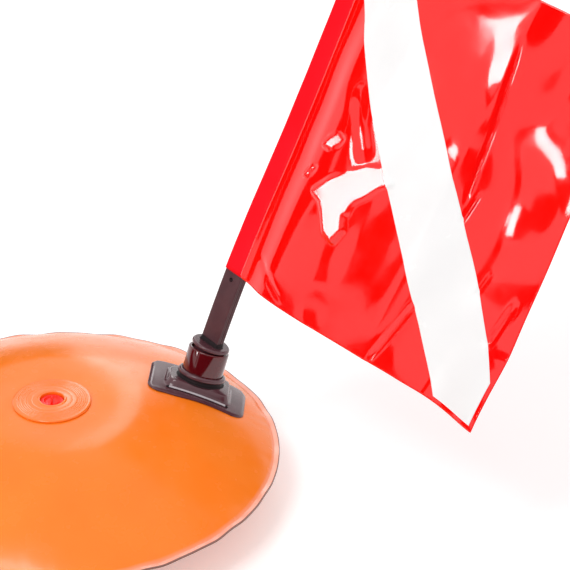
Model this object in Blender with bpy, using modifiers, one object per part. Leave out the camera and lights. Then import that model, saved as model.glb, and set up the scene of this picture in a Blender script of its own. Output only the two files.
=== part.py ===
"""Dive flag float: an inflatable float with a valve, a staff socket, a flag on its staff and a line ring.

The float lies with its round axis on Z and rests on z = 0. The socket stands on its +X shoulder, and
the staff is rocked a little in it, towards the front. The line ring sits on the opposite shoulder underneath, so
that a line hanging straight down from it holds the staff upright in the water. Lengths are in metres.
"""

import math

import bmesh
import bpy
from mathutils import Matrix, Vector

# Clearance between pieces that touch, and how far a cutter passes the face it cuts
GAP = 0.0003
OVERRUN = 0.002
MERGE = 0.00001
SMOOTH_ANGLE = math.radians(35)

# Float: two round sheets welded at the rim
FLOAT_RADIUS = 0.195
DOME_HEIGHT = 0.059
DOME_POWER_SHARE = 0.85
BASE_RADIUS = 0.110
SKIN = 0.0008
RIM_WIDTH = 0.004
RIM_CLEARANCE = 0.0021

# Valve in the middle of the upper sheet
VALVE_FLANGE_RADIUS = 0.0345
VALVE_FLANGE_THICKNESS = 0.0022
VALVE_STEM_RADIUS = 0.0130
VALVE_STEM_LENGTH = 0.020
VALVE_RECESS_RADIUS = 0.0106
VALVE_RECESS_DEPTH = 0.0048
VALVE_RECESS_LIP = 0.0014
VALVE_BORE_RADIUS = 0.0065
VALVE_RING_COUNT = 4
VALVE_RING_HEIGHT = 0.0004
PLUG_HEAD_THICKNESS = 0.0022
PLUG_SHANK_LENGTH = 0.010
PLUG_TAB_RADIUS = 0.0050
PLUG_TAB_THICKNESS = 0.0018
FLAP_THICKNESS = 0.0009

# Staff holder on the shoulder: a soft plate with a raised block, a collar and a hard tube
SOCKET_TILT = math.radians(22)
SOCKET_HEADING = math.radians(17.8)
HOLDER_TURN = math.radians(-44)
PLATE_LENGTH = 0.0896
PLATE_DEPTH = 0.066
PLATE_CORNER = 0.009
PLATE_THICKNESS = 0.0024
BLOCK_LENGTH = 0.058
BLOCK_DEPTH = 0.044
BLOCK_TOP = 0.0072
BLOCK_TAPER_SHARE = 0.92
BLOCK_EDGE = 0.0012
COLLAR_RADIUS = 0.0217
COLLAR_HEIGHT = 0.0077
COLLAR_EDGE = 0.0013
COLLAR_NECK = 0.0036
COLLAR_UNDERCUT = 0.0018
TUBE_RADIUS = 0.0184
TUBE_WALL = 0.0024
TUBE_HEIGHT = 0.0216
TUBE_SEAT = 0.0064
TUBE_FLOOR = 0.002
TUBE_EDGE = 0.0006

# Plug at the foot of the staff
STAFF_TILT = math.radians(22.5)
CAP_RADIUS = 0.0174
CAP_THICKNESS = 0.0034
CAP_LIFT = 0.0008
CAP_EDGE = 0.0009
PLUG_FLOOR = 0.002
HUB_MARGIN = 0.0010
HUB_CORNER = 0.0030
HUB_HEIGHT = 0.0040
HUB_SINK = 0.0012
SHANK_LENGTH = 0.016
SHANK_SLACK = 0.0006
GRIP_RING_HEIGHT = 0.0024
GRIP_RING_DEPTH = 0.0010
GRIP_RING_DROP = 0.005

# Staff: a flat hollow profile with a groove along each narrow side
STAFF_WIDTH = 0.0198
STAFF_DEPTH = 0.0088
STAFF_WALL = 0.0014
STAFF_GROOVE_WIDTH = 0.0034
STAFF_GROOVE_DEPTH = 0.0006
STAFF_BARE_LENGTH = 0.0720
STAFF_OVERTOP = 0.002
STAFF_HOLE_RADIUS = 0.0021
STAFF_HOLE_DROP = 0.0075
TOP_PLUG_HEAD = 0.0018
TOP_PLUG_SPIGOT = 0.012

# Flag: a panel welded to a sleeve that goes round the staff, with a diagonal stripe on each face
FLAG_HOIST = 0.350
FLAG_FLY = 0.295
FLAG_TURN = math.radians(-68)
FLAG_RISE = 0.0052
SLEEVE_WALL = 0.0005
SLEEVE_TAIL = 0.008
PANEL_LAP = 0.002
PANEL_THICKNESS = 0.0004
STRIPE_THICKNESS = 0.0002
STRIPE_WIDTH = 0.064
STRIPE_DROP = 0.0075
STRIPE_MARGIN = 0.0045
FOLD_FRONT = 0.0095
FOLD_FRONT_MIDDLE = 0.0035
FOLD_BACK = 0.0100
FLY_SWING = 0.0100
FOLD_ZERO_SHARE = 0.54
FOLD_LEAN_SHARE = 0.10
FOLD_SKEW_SHARE = 0.45
FOLD_START_SHARE = 0.12
FOLD_TROUGH_SHARE = 0.26
FLY_CORNER_SHARE = 0.22
FLAG_COLUMNS = 18
FLAG_ROWS = 20

# Line ring on the opposite shoulder, underneath
RING_CLEARANCE = 0.016
PATCH_RADIUS = 0.029
PATCH_THICKNESS = 0.0012
PATCH_ROUND_SHARE = 0.98
RING_WIRE = 0.0035
RING_LENGTH = 0.026
RING_REACH = 0.020
RING_CORNER = 0.0045
STRAP_WIDTH = 0.015
STRAP_LENGTH = 0.034
STRAP_THICKNESS = 0.0011

# How finely round things are drawn
FLOAT_STEPS = 48
FLOAT_RINGS = 11
ROUND_STEPS = 40
SMALL_STEPS = 24
STRAP_STEPS = 8
RING_CORNER_STEPS = 3
RING_BOW_STEPS = 10
SEAT_TRIES = 8


def dome_rise(radius):
    """How far the skin stands off the rim plane at this distance from the float's axis."""
    return DOME_HEIGHT * (1 - (radius / FLOAT_RADIUS) ** 2) ** DOME_POWER_SHARE


RIM_Z = dome_rise(BASE_RADIUS)
TOP_Z = RIM_Z + DOME_HEIGHT
HOLDER_RADIUS = FLOAT_RADIUS - RIM_CLEARANCE - math.hypot(PLATE_LENGTH, PLATE_DEPTH) / 2
RING_SEAT_RADIUS = FLOAT_RADIUS - RING_CLEARANCE - PATCH_RADIUS


def clear_scene():
    for item in list(bpy.data.objects):
        bpy.data.objects.remove(item, do_unlink=True)


def new_collection(name):
    collection = bpy.data.collections.new(name)
    bpy.context.scene.collection.children.link(collection)
    return collection


def principled(name, color, roughness, metallic=0.0):
    material = bpy.data.materials.new(name)
    material.use_nodes = True
    shader = material.node_tree.nodes["Principled BSDF"]
    shader.inputs["Base Color"].default_value = (*color, 1.0)
    shader.inputs["Roughness"].default_value = roughness
    shader.inputs["Metallic"].default_value = metallic
    material.diffuse_color = (*color, 1.0)
    return material


clear_scene()
PARTS = new_collection("dive_flag_float")
CUTTERS = new_collection("cutters")

ORANGE_VINYL = principled("orange_vinyl", (1.0, 0.20, 0.035), 0.25)
VALVE_VINYL = principled("valve_vinyl", (0.95, 0.17, 0.03), 0.3)
RED_PLUG = principled("red_plug", (0.80, 0.015, 0.006), 0.3)
BLACK_MOULDING = principled("black_moulding", (0.05, 0.04, 0.042), 0.45)
BLACK_GLOSS = principled("black_gloss", (0.03, 0.022, 0.024), 0.18)
STAFF_PLASTIC = principled("staff_plastic", (0.045, 0.030, 0.033), 0.4)
RUBBER = principled("grip_rubber", (0.02, 0.02, 0.02), 0.7)
RED_VINYL = principled("red_vinyl", (0.86, 0.02, 0.015), 0.25)
WHITE_VINYL = principled("white_vinyl", (0.9, 0.9, 0.9), 0.3)
STEEL = principled("ring_steel", (0.6, 0.6, 0.6), 0.25, 1.0)


def add_object(name, data, material=None, parent=None, collection=PARTS):
    item = bpy.data.objects.new(name, data)
    collection.objects.link(item)
    if material is not None:
        data.materials.append(material)
    item.parent = parent
    if collection is CUTTERS:
        item.hide_render = True
        item.display_type = "WIRE"
    return item


def mesh_from(name, build):
    """A mesh filled by build(bmesh)."""
    mesh = bpy.data.meshes.new(name)
    shape = bmesh.new()
    build(shape)
    shape.to_mesh(mesh)
    shape.free()
    return mesh


def smooth(item):
    item.data.shade_smooth()
    item.data.set_sharp_from_angle(angle=SMOOTH_ANGLE)
    return item


def axis_frame(name, origin, outward, along):
    """An empty whose Z points outward and whose X lies as near along as it can."""
    z = Vector(outward).normalized()
    y = z.cross(Vector(along)).normalized()
    x = y.cross(z)
    frame = bpy.data.objects.new(name, None)
    PARTS.objects.link(frame)
    turn = Matrix((x, y, z)).transposed().to_4x4()
    frame.matrix_world = Matrix.Translation(Vector(origin)) @ turn
    return frame


def turned(name, profile, material, parent=None, steps=ROUND_STEPS, location=(0, 0, 0), collection=PARTS):
    """Turns a profile of (radius, height) points round Z. A closed profile repeats its first point."""
    closed = profile[0] == profile[-1]
    points = profile[:-1] if closed else profile

    def build(shape):
        ring = [shape.verts.new((radius, 0, height)) for radius, height in points]
        pairs = list(zip(ring, ring[1:]))
        if closed:
            pairs.append((ring[-1], ring[0]))
        for first, second in pairs:
            shape.edges.new((first, second))

    item = add_object(name, mesh_from(name, build), material, parent, collection)
    item.location = location
    screw = item.modifiers.new("turn", "SCREW")
    screw.axis = "Z"
    screw.angle = math.tau
    screw.steps = steps
    screw.render_steps = steps
    screw.use_merge_vertices = True
    screw.merge_threshold = MERGE
    screw.use_smooth_shade = False
    return item


def solidify(item, thickness, offset):
    shell = item.modifiers.new("shell", "SOLIDIFY")
    shell.thickness = thickness
    shell.offset = offset
    shell.use_even_offset = True
    return shell


def boolean(item, other, operation):
    cut = item.modifiers.new(operation.lower(), "BOOLEAN")
    cut.operation = operation
    cut.object = other
    cut.solver = "EXACT"
    return cut


def bevel(item, width, segments=2):
    edge = item.modifiers.new("edge", "BEVEL")
    edge.width = width
    edge.segments = segments
    edge.limit_method = "ANGLE"
    return edge


def flat_outline(name, loops, depth, material, parent=None, collection=PARTS):
    """A solid of constant section: closed loops of (x, y) points, drawn from z = 0 up to depth."""
    curve = bpy.data.curves.new(name, "CURVE")
    curve.dimensions = "2D"
    curve.fill_mode = "BOTH"
    curve.extrude = depth / 2
    for loop in loops:
        spline = curve.splines.new("POLY")
        spline.points.add(len(loop) - 1)
        for point, (x, y) in zip(spline.points, loop):
            point.co = (x, y, 0, 1)
        spline.use_cyclic_u = True
    holder = bpy.data.objects.new(name + "_curve", curve)
    bpy.context.scene.collection.objects.link(holder)
    graph = bpy.context.evaluated_depsgraph_get()
    mesh = bpy.data.meshes.new_from_object(holder.evaluated_get(graph))
    bpy.data.objects.remove(holder, do_unlink=True)
    shape = bmesh.new()
    shape.from_mesh(mesh)
    bmesh.ops.remove_doubles(shape, verts=shape.verts, dist=MERGE)
    bmesh.ops.translate(shape, verts=shape.verts, vec=(0, 0, depth / 2))
    bmesh.ops.recalc_face_normals(shape, faces=shape.faces)
    shape.to_mesh(mesh)
    shape.free()
    mesh.name = name
    return add_object(name, mesh, material, parent, collection)


def rounded_box(length, width, corner, steps=3):
    """The outline of a rectangle with round corners, centred on the origin."""
    points = []
    centres = ((1, 1, 0), (-1, 1, 1), (-1, -1, 2), (1, -1, 3))
    for side_x, side_y, quarter in centres:
        for step in range(steps + 1):
            angle = (quarter + step / steps) * math.pi / 2
            x = side_x * (length / 2 - corner) + corner * math.cos(angle)
            y = side_y * (width / 2 - corner) + corner * math.sin(angle)
            points.append((x, y))
    return points


def seat_height(frame, x, y, side):
    """Height in the frame at which x, y meets the skin. Side is 1 for the upper sheet, -1 for the lower."""
    height = 0.0
    for _ in range(SEAT_TRIES):
        point = frame @ Vector((x, y, height))
        height -= side * (point.z - RIM_Z) - dome_rise(math.hypot(point.x, point.y))
    return height


def grid_lines(half, corner, middle_cells, corner_cells=2):
    """Grid lines from -half to half, closer together in the round corners."""
    inner = half - corner
    middle = [inner * (2 * step / middle_cells - 1) for step in range(middle_cells + 1)]
    outer = [inner + corner * (step + 1) / corner_cells for step in range(corner_cells)]
    return [-line for line in reversed(outer)] + middle + outer


def laid_patch(name, length, width, corner, thickness, frame, side, material, cells, collection=PARTS):
    """A patch with round corners that follows the skin, one clearance off it."""
    lines_x = grid_lines(length / 2, corner, cells[0])
    lines_y = grid_lines(width / 2, corner, cells[1])

    def build(shape):
        bmesh.ops.create_grid(shape, x_segments=len(lines_x) - 1, y_segments=len(lines_y) - 1, size=1)
        for vertex in shape.verts:
            x = lines_x[round((vertex.co.x + 1) / 2 * (len(lines_x) - 1))]
            y = lines_y[round((vertex.co.y + 1) / 2 * (len(lines_y) - 1))]
            over_x = (abs(x) - (length / 2 - corner)) / corner
            over_y = (abs(y) - (width / 2 - corner)) / corner
            if over_x > 0 and over_y > 0:
                round_x = over_x * math.sqrt(1 - over_y**2 / 2)
                round_y = over_y * math.sqrt(1 - over_x**2 / 2)
                x = math.copysign(length / 2 - corner + corner * round_x, x)
                y = math.copysign(width / 2 - corner + corner * round_y, y)
            vertex.co = (x, y, seat_height(frame.matrix_world, x, y, side) + GAP)

    item = add_object(name, mesh_from(name, build), material, frame, collection)
    solidify(item, thickness, 1)
    return item


def shoulder_slope(radius):
    """Angle between the skin and the rim plane at this radius."""
    share = radius / FLOAT_RADIUS
    rise = 2 * DOME_POWER_SHARE * DOME_HEIGHT * share * (1 - share**2) ** (DOME_POWER_SHARE - 1)
    return math.atan(rise / FLOAT_RADIUS)


def skin_point(radius, side):
    """The point of the skin at this radius: on +X on the upper sheet, on -X on the lower one."""
    return Vector((side * radius, 0, RIM_Z + side * dome_rise(radius)))


def leaning_frame(name, origin, tilt, side, turn, heading=0):
    """A frame that leans by tilt towards the heading. Side is as in skin_point."""
    outward = Vector((side * math.sin(tilt), 0, side * math.cos(tilt)))
    downhill = Vector((side * math.cos(tilt), 0, -side * math.sin(tilt)))
    along = Matrix.Rotation(turn, 3, outward) @ downhill
    swing = Matrix.Rotation(heading, 3, "Z")
    return axis_frame(name, origin, swing @ outward, swing @ along)


def make_float():
    """The two sheets. Each is a dome that ends in a flat lip, and the lips are welded together."""
    radii = [FLOAT_RADIUS * math.sin(math.pi / 2 * step / FLOAT_RINGS) for step in range(FLOAT_RINGS + 1)]
    hole = VALVE_STEM_RADIUS + GAP
    lip = GAP / 2 + SKIN
    upper_dome = [(radius, max(dome_rise(radius), lip)) for radius in radii if radius > hole]
    upper = [(hole, dome_rise(hole)), *upper_dome, (FLOAT_RADIUS + RIM_WIDTH, lip)]
    upper_panel = turned("upper_panel", [(radius, RIM_Z + rise) for radius, rise in upper], ORANGE_VINYL,
                         steps=FLOAT_STEPS)
    solidify(upper_panel, SKIN, -1)

    lower_dome = [(radius, max(dome_rise(radius), lip)) for radius in radii if radius > BASE_RADIUS]
    lower = [(FLOAT_RADIUS + RIM_WIDTH, lip), *reversed(lower_dome), (BASE_RADIUS, RIM_Z), (0, RIM_Z)]
    lower_panel = turned("lower_panel", [(radius, RIM_Z - rise) for radius, rise in lower], ORANGE_VINYL,
                         steps=FLOAT_STEPS)
    solidify(lower_panel, SKIN, -1)


def valve_seat(radius):
    """Height of the valve flange's underside at this radius."""
    return RIM_Z + dome_rise(radius) + GAP


def make_valve():
    """The welded flange with its stem, the plug in its recess and the flap that closes the stem's foot."""
    top = TOP_Z + VALVE_FLANGE_THICKNESS
    foot = TOP_Z - VALVE_STEM_LENGTH
    ledge = top - VALVE_RECESS_DEPTH
    edge = VALVE_FLANGE_RADIUS
    stem = VALVE_STEM_RADIUS
    drop = dome_rise(0) - dome_rise(edge)
    ring_start = VALVE_RECESS_RADIUS + VALVE_RECESS_LIP
    pitch = (edge - ring_start) / (VALVE_RING_COUNT + 1)

    def flange_top(radius):
        return top - drop * (radius / edge) ** 2

    profile = [(VALVE_BORE_RADIUS, foot), (VALVE_BORE_RADIUS, ledge), (VALVE_RECESS_RADIUS, ledge),
               (VALVE_RECESS_RADIUS, top)]
    for ring in range(VALVE_RING_COUNT):
        start = ring_start + pitch * (ring + 1) - pitch / 2
        profile.append((start, flange_top(start)))
        profile.append((start + pitch / 4, flange_top(start) + VALVE_RING_HEIGHT))
        profile.append((start + pitch / 2, flange_top(start + pitch / 2)))
    profile += [(edge, flange_top(edge)), (edge, valve_seat(edge)),
                ((edge + stem) / 2, valve_seat((edge + stem) / 2)), (stem, valve_seat(stem)),
                (stem, foot), (VALVE_BORE_RADIUS, foot)]
    smooth(turned("valve_flange", profile, VALVE_VINYL))

    head = VALVE_RECESS_RADIUS - GAP
    shank = VALVE_BORE_RADIUS - GAP
    seat = ledge + GAP
    plug_profile = [(0, seat + PLUG_HEAD_THICKNESS), (head, seat + PLUG_HEAD_THICKNESS), (head, seat),
                    (shank, seat), (shank, seat - PLUG_SHANK_LENGTH), (0, seat - PLUG_SHANK_LENGTH)]
    plug = smooth(turned("valve_plug", plug_profile, RED_PLUG, steps=SMALL_STEPS))
    tab = turned("plug_tab", [(0, PLUG_TAB_THICKNESS / 2), (PLUG_TAB_RADIUS, PLUG_TAB_THICKNESS / 2),
                              (PLUG_TAB_RADIUS, -PLUG_TAB_THICKNESS / 2), (0, -PLUG_TAB_THICKNESS / 2)],
                 None, steps=SMALL_STEPS, location=(0, 0, seat + PLUG_HEAD_THICKNESS), collection=CUTTERS)
    tab.rotation_euler = (math.pi / 2, 0, 0)
    boolean(plug, tab, "UNION")

    flap_radius = (VALVE_BORE_RADIUS + stem) / 2
    flap_top = foot - GAP
    flap_profile = [(0, flap_top), (flap_radius, flap_top), (flap_radius, flap_top - FLAP_THICKNESS),
                    (0, flap_top - FLAP_THICKNESS)]
    smooth(turned("valve_flap", flap_profile, RUBBER, steps=SMALL_STEPS))


def make_holder(frame):
    """The soft plate with its block and collar, and the hard tube that stands in it. Gives the tube's top."""
    plate = laid_patch("holder_plate", PLATE_LENGTH, PLATE_DEPTH, PLATE_CORNER, PLATE_THICKNESS, frame, 1,
                       BLACK_MOULDING, (6, 4))
    collar_top = BLOCK_TOP + COLLAR_HEIGHT
    tube_top = collar_top + TUBE_HEIGHT
    block_foot = GAP + PLATE_THICKNESS / 2

    def build(shape):
        bmesh.ops.create_grid(shape, x_segments=4, y_segments=4, size=1)
        for vertex in shape.verts:
            x = vertex.co.x * BLOCK_LENGTH / 2
            y = vertex.co.y * BLOCK_DEPTH / 2
            vertex.co = (x, y, seat_height(frame.matrix_world, x, y, 1) + block_foot)
        walls = bmesh.ops.extrude_face_region(shape, geom=shape.faces[:])
        for vertex in walls["geom"]:
            if isinstance(vertex, bmesh.types.BMVert):
                vertex.co = (vertex.co.x * BLOCK_TAPER_SHARE, vertex.co.y * BLOCK_TAPER_SHARE, BLOCK_TOP)
        bmesh.ops.dissolve_limit(shape, angle_limit=MERGE, verts=shape.verts, edges=shape.edges)
        bmesh.ops.recalc_face_normals(shape, faces=shape.faces)

    block = add_object("holder_block", mesh_from("holder_block", build), None, frame, CUTTERS)
    bevel(block, BLOCK_EDGE)
    boolean(plate, block, "UNION")

    neck_radius = COLLAR_RADIUS - COLLAR_UNDERCUT
    neck_top = BLOCK_TOP + COLLAR_NECK
    collar_profile = [(0, collar_top), (COLLAR_RADIUS - COLLAR_EDGE, collar_top),
                      (COLLAR_RADIUS, collar_top - COLLAR_EDGE),
                      (COLLAR_RADIUS, neck_top + COLLAR_EDGE / 2),
                      (COLLAR_RADIUS - COLLAR_EDGE / 2, neck_top), (neck_radius, neck_top),
                      (neck_radius, BLOCK_TOP - BLOCK_EDGE), (0, BLOCK_TOP - BLOCK_EDGE)]
    collar = turned("holder_collar", collar_profile, None, frame, collection=CUTTERS)
    boolean(plate, collar, "UNION")

    bore = TUBE_RADIUS + GAP
    bore_foot = TUBE_SEAT - GAP
    bore_top = collar_top + OVERRUN
    bore_profile = [(0, bore_top), (bore, bore_top), (bore, bore_foot), (0, bore_foot)]
    cutter = turned("holder_bore", bore_profile, None, frame, collection=CUTTERS)
    boolean(plate, cutter, "DIFFERENCE")
    smooth(plate)

    inner = TUBE_RADIUS - TUBE_WALL
    floor = TUBE_SEAT + TUBE_FLOOR
    shoulder = tube_top - TUBE_EDGE
    tube_profile = [(0, floor), (inner, floor), (inner, shoulder), (inner + TUBE_EDGE, tube_top),
                    (TUBE_RADIUS - TUBE_EDGE, tube_top), (TUBE_RADIUS, shoulder), (TUBE_RADIUS, TUBE_SEAT),
                    (0, TUBE_SEAT)]
    smooth(turned("socket_tube", tube_profile, BLACK_GLOSS, frame))
    return tube_top


def staff_section():
    """The staff's outer outline, with a shallow groove in each narrow side."""
    box = rounded_box(STAFF_WIDTH, STAFF_DEPTH, STAFF_GROOVE_DEPTH, 2)
    groove = []
    for x, y in ((0, 1), (1, 1), (1, -1), (0, -1)):
        groove.append((STAFF_WIDTH / 2 - x * STAFF_GROOVE_DEPTH, y * STAFF_GROOVE_WIDTH / 2))
    right = list(reversed(groove))
    left = [(-x, y) for x, y in groove]
    middle = len(box) // 2
    return [*box[:middle], *left, *box[middle:], *right]


def make_staff(frame, socket):
    """The plug, its grip ring, the staff and the plug that closes its top end.

    The frame stands at the middle of the tube's mouth. The plug rocks in the tube until its cap comes
    close to the tube's rim on one side. Gives the height of the sleeve's foot.
    """
    rock = math.tan(frame.matrix_world.col[2].angle(socket.matrix_world.col[2]))
    cap_foot = CAP_RADIUS * rock + CAP_LIFT
    cap_top = cap_foot + CAP_THICKNESS
    shank = TUBE_RADIUS - TUBE_WALL - SHANK_LENGTH * rock - SHANK_SLACK
    shank_foot = -SHANK_LENGTH
    ring_top = -GRIP_RING_DROP
    ring_foot = ring_top - GRIP_RING_HEIGHT
    groove = shank - GRIP_RING_DEPTH
    profile = [(0, cap_top), (CAP_RADIUS - CAP_EDGE, cap_top), (CAP_RADIUS, cap_top - CAP_EDGE),
               (CAP_RADIUS, cap_foot + CAP_EDGE / 2), (CAP_RADIUS - CAP_EDGE / 2, cap_foot),
               (shank, cap_foot), (shank, ring_top + GAP), (groove, ring_top + GAP),
               (groove, ring_foot - GAP), (shank, ring_foot - GAP), (shank, shank_foot), (0, shank_foot)]
    plug = turned("staff_plug", profile, BLACK_MOULDING, frame)

    hub_outline = rounded_box(STAFF_WIDTH + 2 * HUB_MARGIN, STAFF_DEPTH + 2 * HUB_MARGIN, HUB_CORNER)
    hub = flat_outline("plug_hub", [hub_outline], HUB_SINK + HUB_HEIGHT, None, frame, CUTTERS)
    hub.location.z = cap_top - HUB_SINK
    boolean(plug, hub, "UNION")

    staff_foot = shank_foot + PLUG_FLOOR + GAP
    pocket_outline = rounded_box(STAFF_WIDTH + 2 * GAP, STAFF_DEPTH + 2 * GAP, STAFF_GROOVE_DEPTH + GAP, 2)
    pocket_depth = cap_top + HUB_HEIGHT + OVERRUN - (staff_foot - GAP)
    pocket = flat_outline("plug_pocket", [pocket_outline], pocket_depth, None, frame, CUTTERS)
    pocket.location.z = staff_foot - GAP
    boolean(plug, pocket, "DIFFERENCE")
    smooth(plug)

    outer = TUBE_RADIUS - TUBE_WALL + ring_foot * rock - 2 * GAP
    inner = groove + GAP
    ring_profile = [(inner, ring_foot), (inner, ring_top), (outer, ring_top), (outer, ring_foot),
                    (inner, ring_foot)]
    smooth(turned("grip_ring", ring_profile, RUBBER, frame))

    sleeve_foot = cap_top + STAFF_BARE_LENGTH
    staff_top = sleeve_foot + FLAG_HOIST + STAFF_OVERTOP
    hollow_length = STAFF_WIDTH - 2 * STAFF_WALL
    hollow_depth = STAFF_DEPTH - 2 * STAFF_WALL
    hollow = rounded_box(hollow_length, hollow_depth, STAFF_GROOVE_DEPTH, 1)
    staff = flat_outline("staff", [staff_section(), hollow], staff_top - staff_foot, STAFF_PLASTIC, frame)
    staff.location.z = staff_foot

    hole_reach = STAFF_DEPTH / 2 + OVERRUN
    hole_profile = [(0, hole_reach), (STAFF_HOLE_RADIUS, hole_reach), (STAFF_HOLE_RADIUS, 0), (0, 0)]
    hole = turned("staff_hole", hole_profile, None, frame, SMALL_STEPS // 2, collection=CUTTERS)
    hole.rotation_euler = (math.pi / 2, 0, 0)
    hole.location = (0, 0, sleeve_foot - STAFF_HOLE_DROP)
    boolean(staff, hole, "DIFFERENCE")

    head = flat_outline("staff_top_plug", [rounded_box(STAFF_WIDTH, STAFF_DEPTH, STAFF_GROOVE_DEPTH)],
                        TOP_PLUG_HEAD, BLACK_MOULDING, frame)
    head.location.z = staff_top + GAP
    spigot_outline = rounded_box(hollow_length - 2 * GAP, hollow_depth - 2 * GAP, STAFF_GROOVE_DEPTH, 1)
    spigot_length = TOP_PLUG_SPIGOT + TOP_PLUG_HEAD / 2
    spigot = flat_outline("top_plug_spigot", [spigot_outline], spigot_length, None, frame, CUTTERS)
    spigot.location.z = staff_top + GAP - TOP_PLUG_SPIGOT
    boolean(head, spigot, "UNION")
    return sleeve_foot


def smoothstep(value):
    value = min(max(value, 0), 1)
    return value * value * (3 - 2 * value)


def flag_shift(across, up):
    """How far the hanging panel bows from its plane, at shares across the fly and up the hoist.

    It bows to the front beside the staff, and to the back towards the fly, as the photograph shows.
    """
    zero = FOLD_ZERO_SHARE + FOLD_LEAN_SHARE * up
    if across < zero:
        along = across / zero
        skewed = along * (1 + FOLD_SKEW_SHARE * (1 - along))
        bow = math.sin(math.pi * skewed) * smoothstep(across / FOLD_START_SHARE)
        depth = FOLD_FRONT + FOLD_FRONT_MIDDLE * math.sin(math.pi * up)
        return -depth * bow
    past = (across - zero) / FOLD_TROUGH_SHARE
    trough = math.sin(math.pi / 2 * min(past, 1))
    end = smoothstep((across - zero - FOLD_TROUGH_SHARE) / (1 - zero - FOLD_TROUGH_SHARE))
    corner = FLY_SWING * smoothstep(up / FLY_CORNER_SHARE)
    return FOLD_BACK * trough * (1 - end) + corner * end


def make_flag(frame, sleeve_foot):
    """The sleeve round the staff, the panel welded to its tail, and the stripe on each face."""
    half_width = STAFF_WIDTH / 2 + GAP + SLEEVE_WALL
    half_depth = STAFF_DEPTH / 2 + GAP + SLEEVE_WALL
    corner = STAFF_GROOVE_DEPTH + GAP
    outline = rounded_box(2 * half_width, 2 * half_depth, corner + SLEEVE_WALL, 2)
    front_corner = len(outline) // 4
    tail_end = half_width + SLEEVE_TAIL
    tail_back = SLEEVE_WALL - half_depth
    tail = [(tail_end, -half_depth), (tail_end, tail_back), (half_width, tail_back)]
    inside = rounded_box(STAFF_WIDTH + 2 * GAP, STAFF_DEPTH + 2 * GAP, corner, 2)
    sleeve = flat_outline("flag_sleeve", [[*outline[:-front_corner], *tail], inside], FLAG_HOIST, RED_VINYL,
                          frame)
    sleeve.location.z = sleeve_foot

    panel_start = half_width - PANEL_LAP
    panel_length = FLAG_FLY - half_width - panel_start
    panel_plane = -(half_depth + GAP + PANEL_THICKNESS / 2)

    def hung_grid(shape, offset):
        bmesh.ops.create_grid(shape, x_segments=FLAG_COLUMNS, y_segments=FLAG_ROWS, size=1)
        bmesh.ops.triangulate(shape, faces=shape.faces)
        for vertex in shape.verts:
            across = (vertex.co.x + 1) / 2
            up = (vertex.co.y + 1) / 2
            y = panel_plane + flag_shift(across, up) + offset
            z = up * FLAG_HOIST + across * FLAG_RISE
            vertex.co = (panel_start + across * panel_length, y, z)

    def keep_side(shape, point, outside):
        everything = shape.verts[:] + shape.edges[:] + shape.faces[:]
        bmesh.ops.bisect_plane(shape, geom=everything, plane_co=point, plane_no=outside, clear_outer=True)

    def stripe_shape(offset, start):
        def build(shape):
            hung_grid(shape, offset)
            fly_end = panel_start + panel_length
            keep_side(shape, (start, 0, 0), (-1, 0, 0))
            keep_side(shape, (fly_end - STRIPE_MARGIN, 0, 0), (1, 0, 0))
            below = Vector((FLAG_RISE, 0, -panel_length)).normalized()
            keep_side(shape, (panel_start, 0, STRIPE_MARGIN), below)
            keep_side(shape, (panel_start, 0, FLAG_HOIST - STRIPE_MARGIN), -below)
            across = Vector((FLAG_HOIST - FLAG_RISE, 0, panel_length)).normalized()
            middle = Vector((fly_end, 0, FLAG_RISE)) - across * STRIPE_DROP
            for side in (-1, 1):
                keep_side(shape, middle + across * side * STRIPE_WIDTH / 2, across * side)
        return build

    panel_mesh = mesh_from("flag_panel", lambda shape: hung_grid(shape, 0))
    panel = add_object("flag_panel", panel_mesh, RED_VINYL, frame)
    panel.location.z = sleeve_foot
    solidify(panel, PANEL_THICKNESS, 0)

    stripe_offset = PANEL_THICKNESS / 2 + GAP + STRIPE_THICKNESS / 2
    sides = (("stripe_front", -1, panel_start + STRIPE_MARGIN), ("stripe_back", 1, tail_end + GAP))
    for name, side, start in sides:
        stripe_mesh = mesh_from(name, stripe_shape(side * stripe_offset, start))
        stripe = add_object(name, stripe_mesh, WHITE_VINYL, frame)
        stripe.location.z = sleeve_foot
        solidify(stripe, STRIPE_THICKNESS, 0)


def strap_outline(bar_height):
    """Side view of the strap: two flat tails and an arch over the ring's bar."""
    inner = RING_WIRE / 2 + GAP
    outer = inner + STRAP_THICKNESS
    foot = bar_height - inner
    turns = [math.pi * step / STRAP_STEPS for step in range(STRAP_STEPS + 1)]
    inside = [(inner * math.cos(turn), bar_height + inner * math.sin(turn)) for turn in turns]
    outside = [(outer * math.cos(turn), bar_height + outer * math.sin(turn)) for turn in turns]
    half = STRAP_LENGTH / 2
    top = foot + STRAP_THICKNESS
    left = [(-outer, top), (-half, top), (-half, foot), (-inner, foot)]
    right = [(inner, foot), (half, foot), (half, top), (outer, top)]
    return [*right, *outside, *left, *reversed(inside)]


def ring_points():
    """The ring's centre line: a straight bar through the origin along Y, and a bow that reaches along X."""
    half = RING_LENGTH / 2 - RING_WIRE / 2
    reach = RING_REACH - RING_WIRE / 2
    corner = []
    for step in range(RING_CORNER_STEPS):
        angle = math.pi / 2 * step / RING_CORNER_STEPS
        corner.append((RING_CORNER * (1 - math.cos(angle)), half - RING_CORNER * (1 - math.sin(angle))))
    bow = []
    for step in range(RING_BOW_STEPS + 1):
        angle = math.pi / 2 - math.pi * step / RING_BOW_STEPS
        bow.append((RING_CORNER + (reach - RING_CORNER) * math.cos(angle), half * math.sin(angle)))
    far_corner = [(x, -y) for x, y in reversed(corner)]
    return [(0, 0), *corner, *bow, *far_corner]


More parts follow.
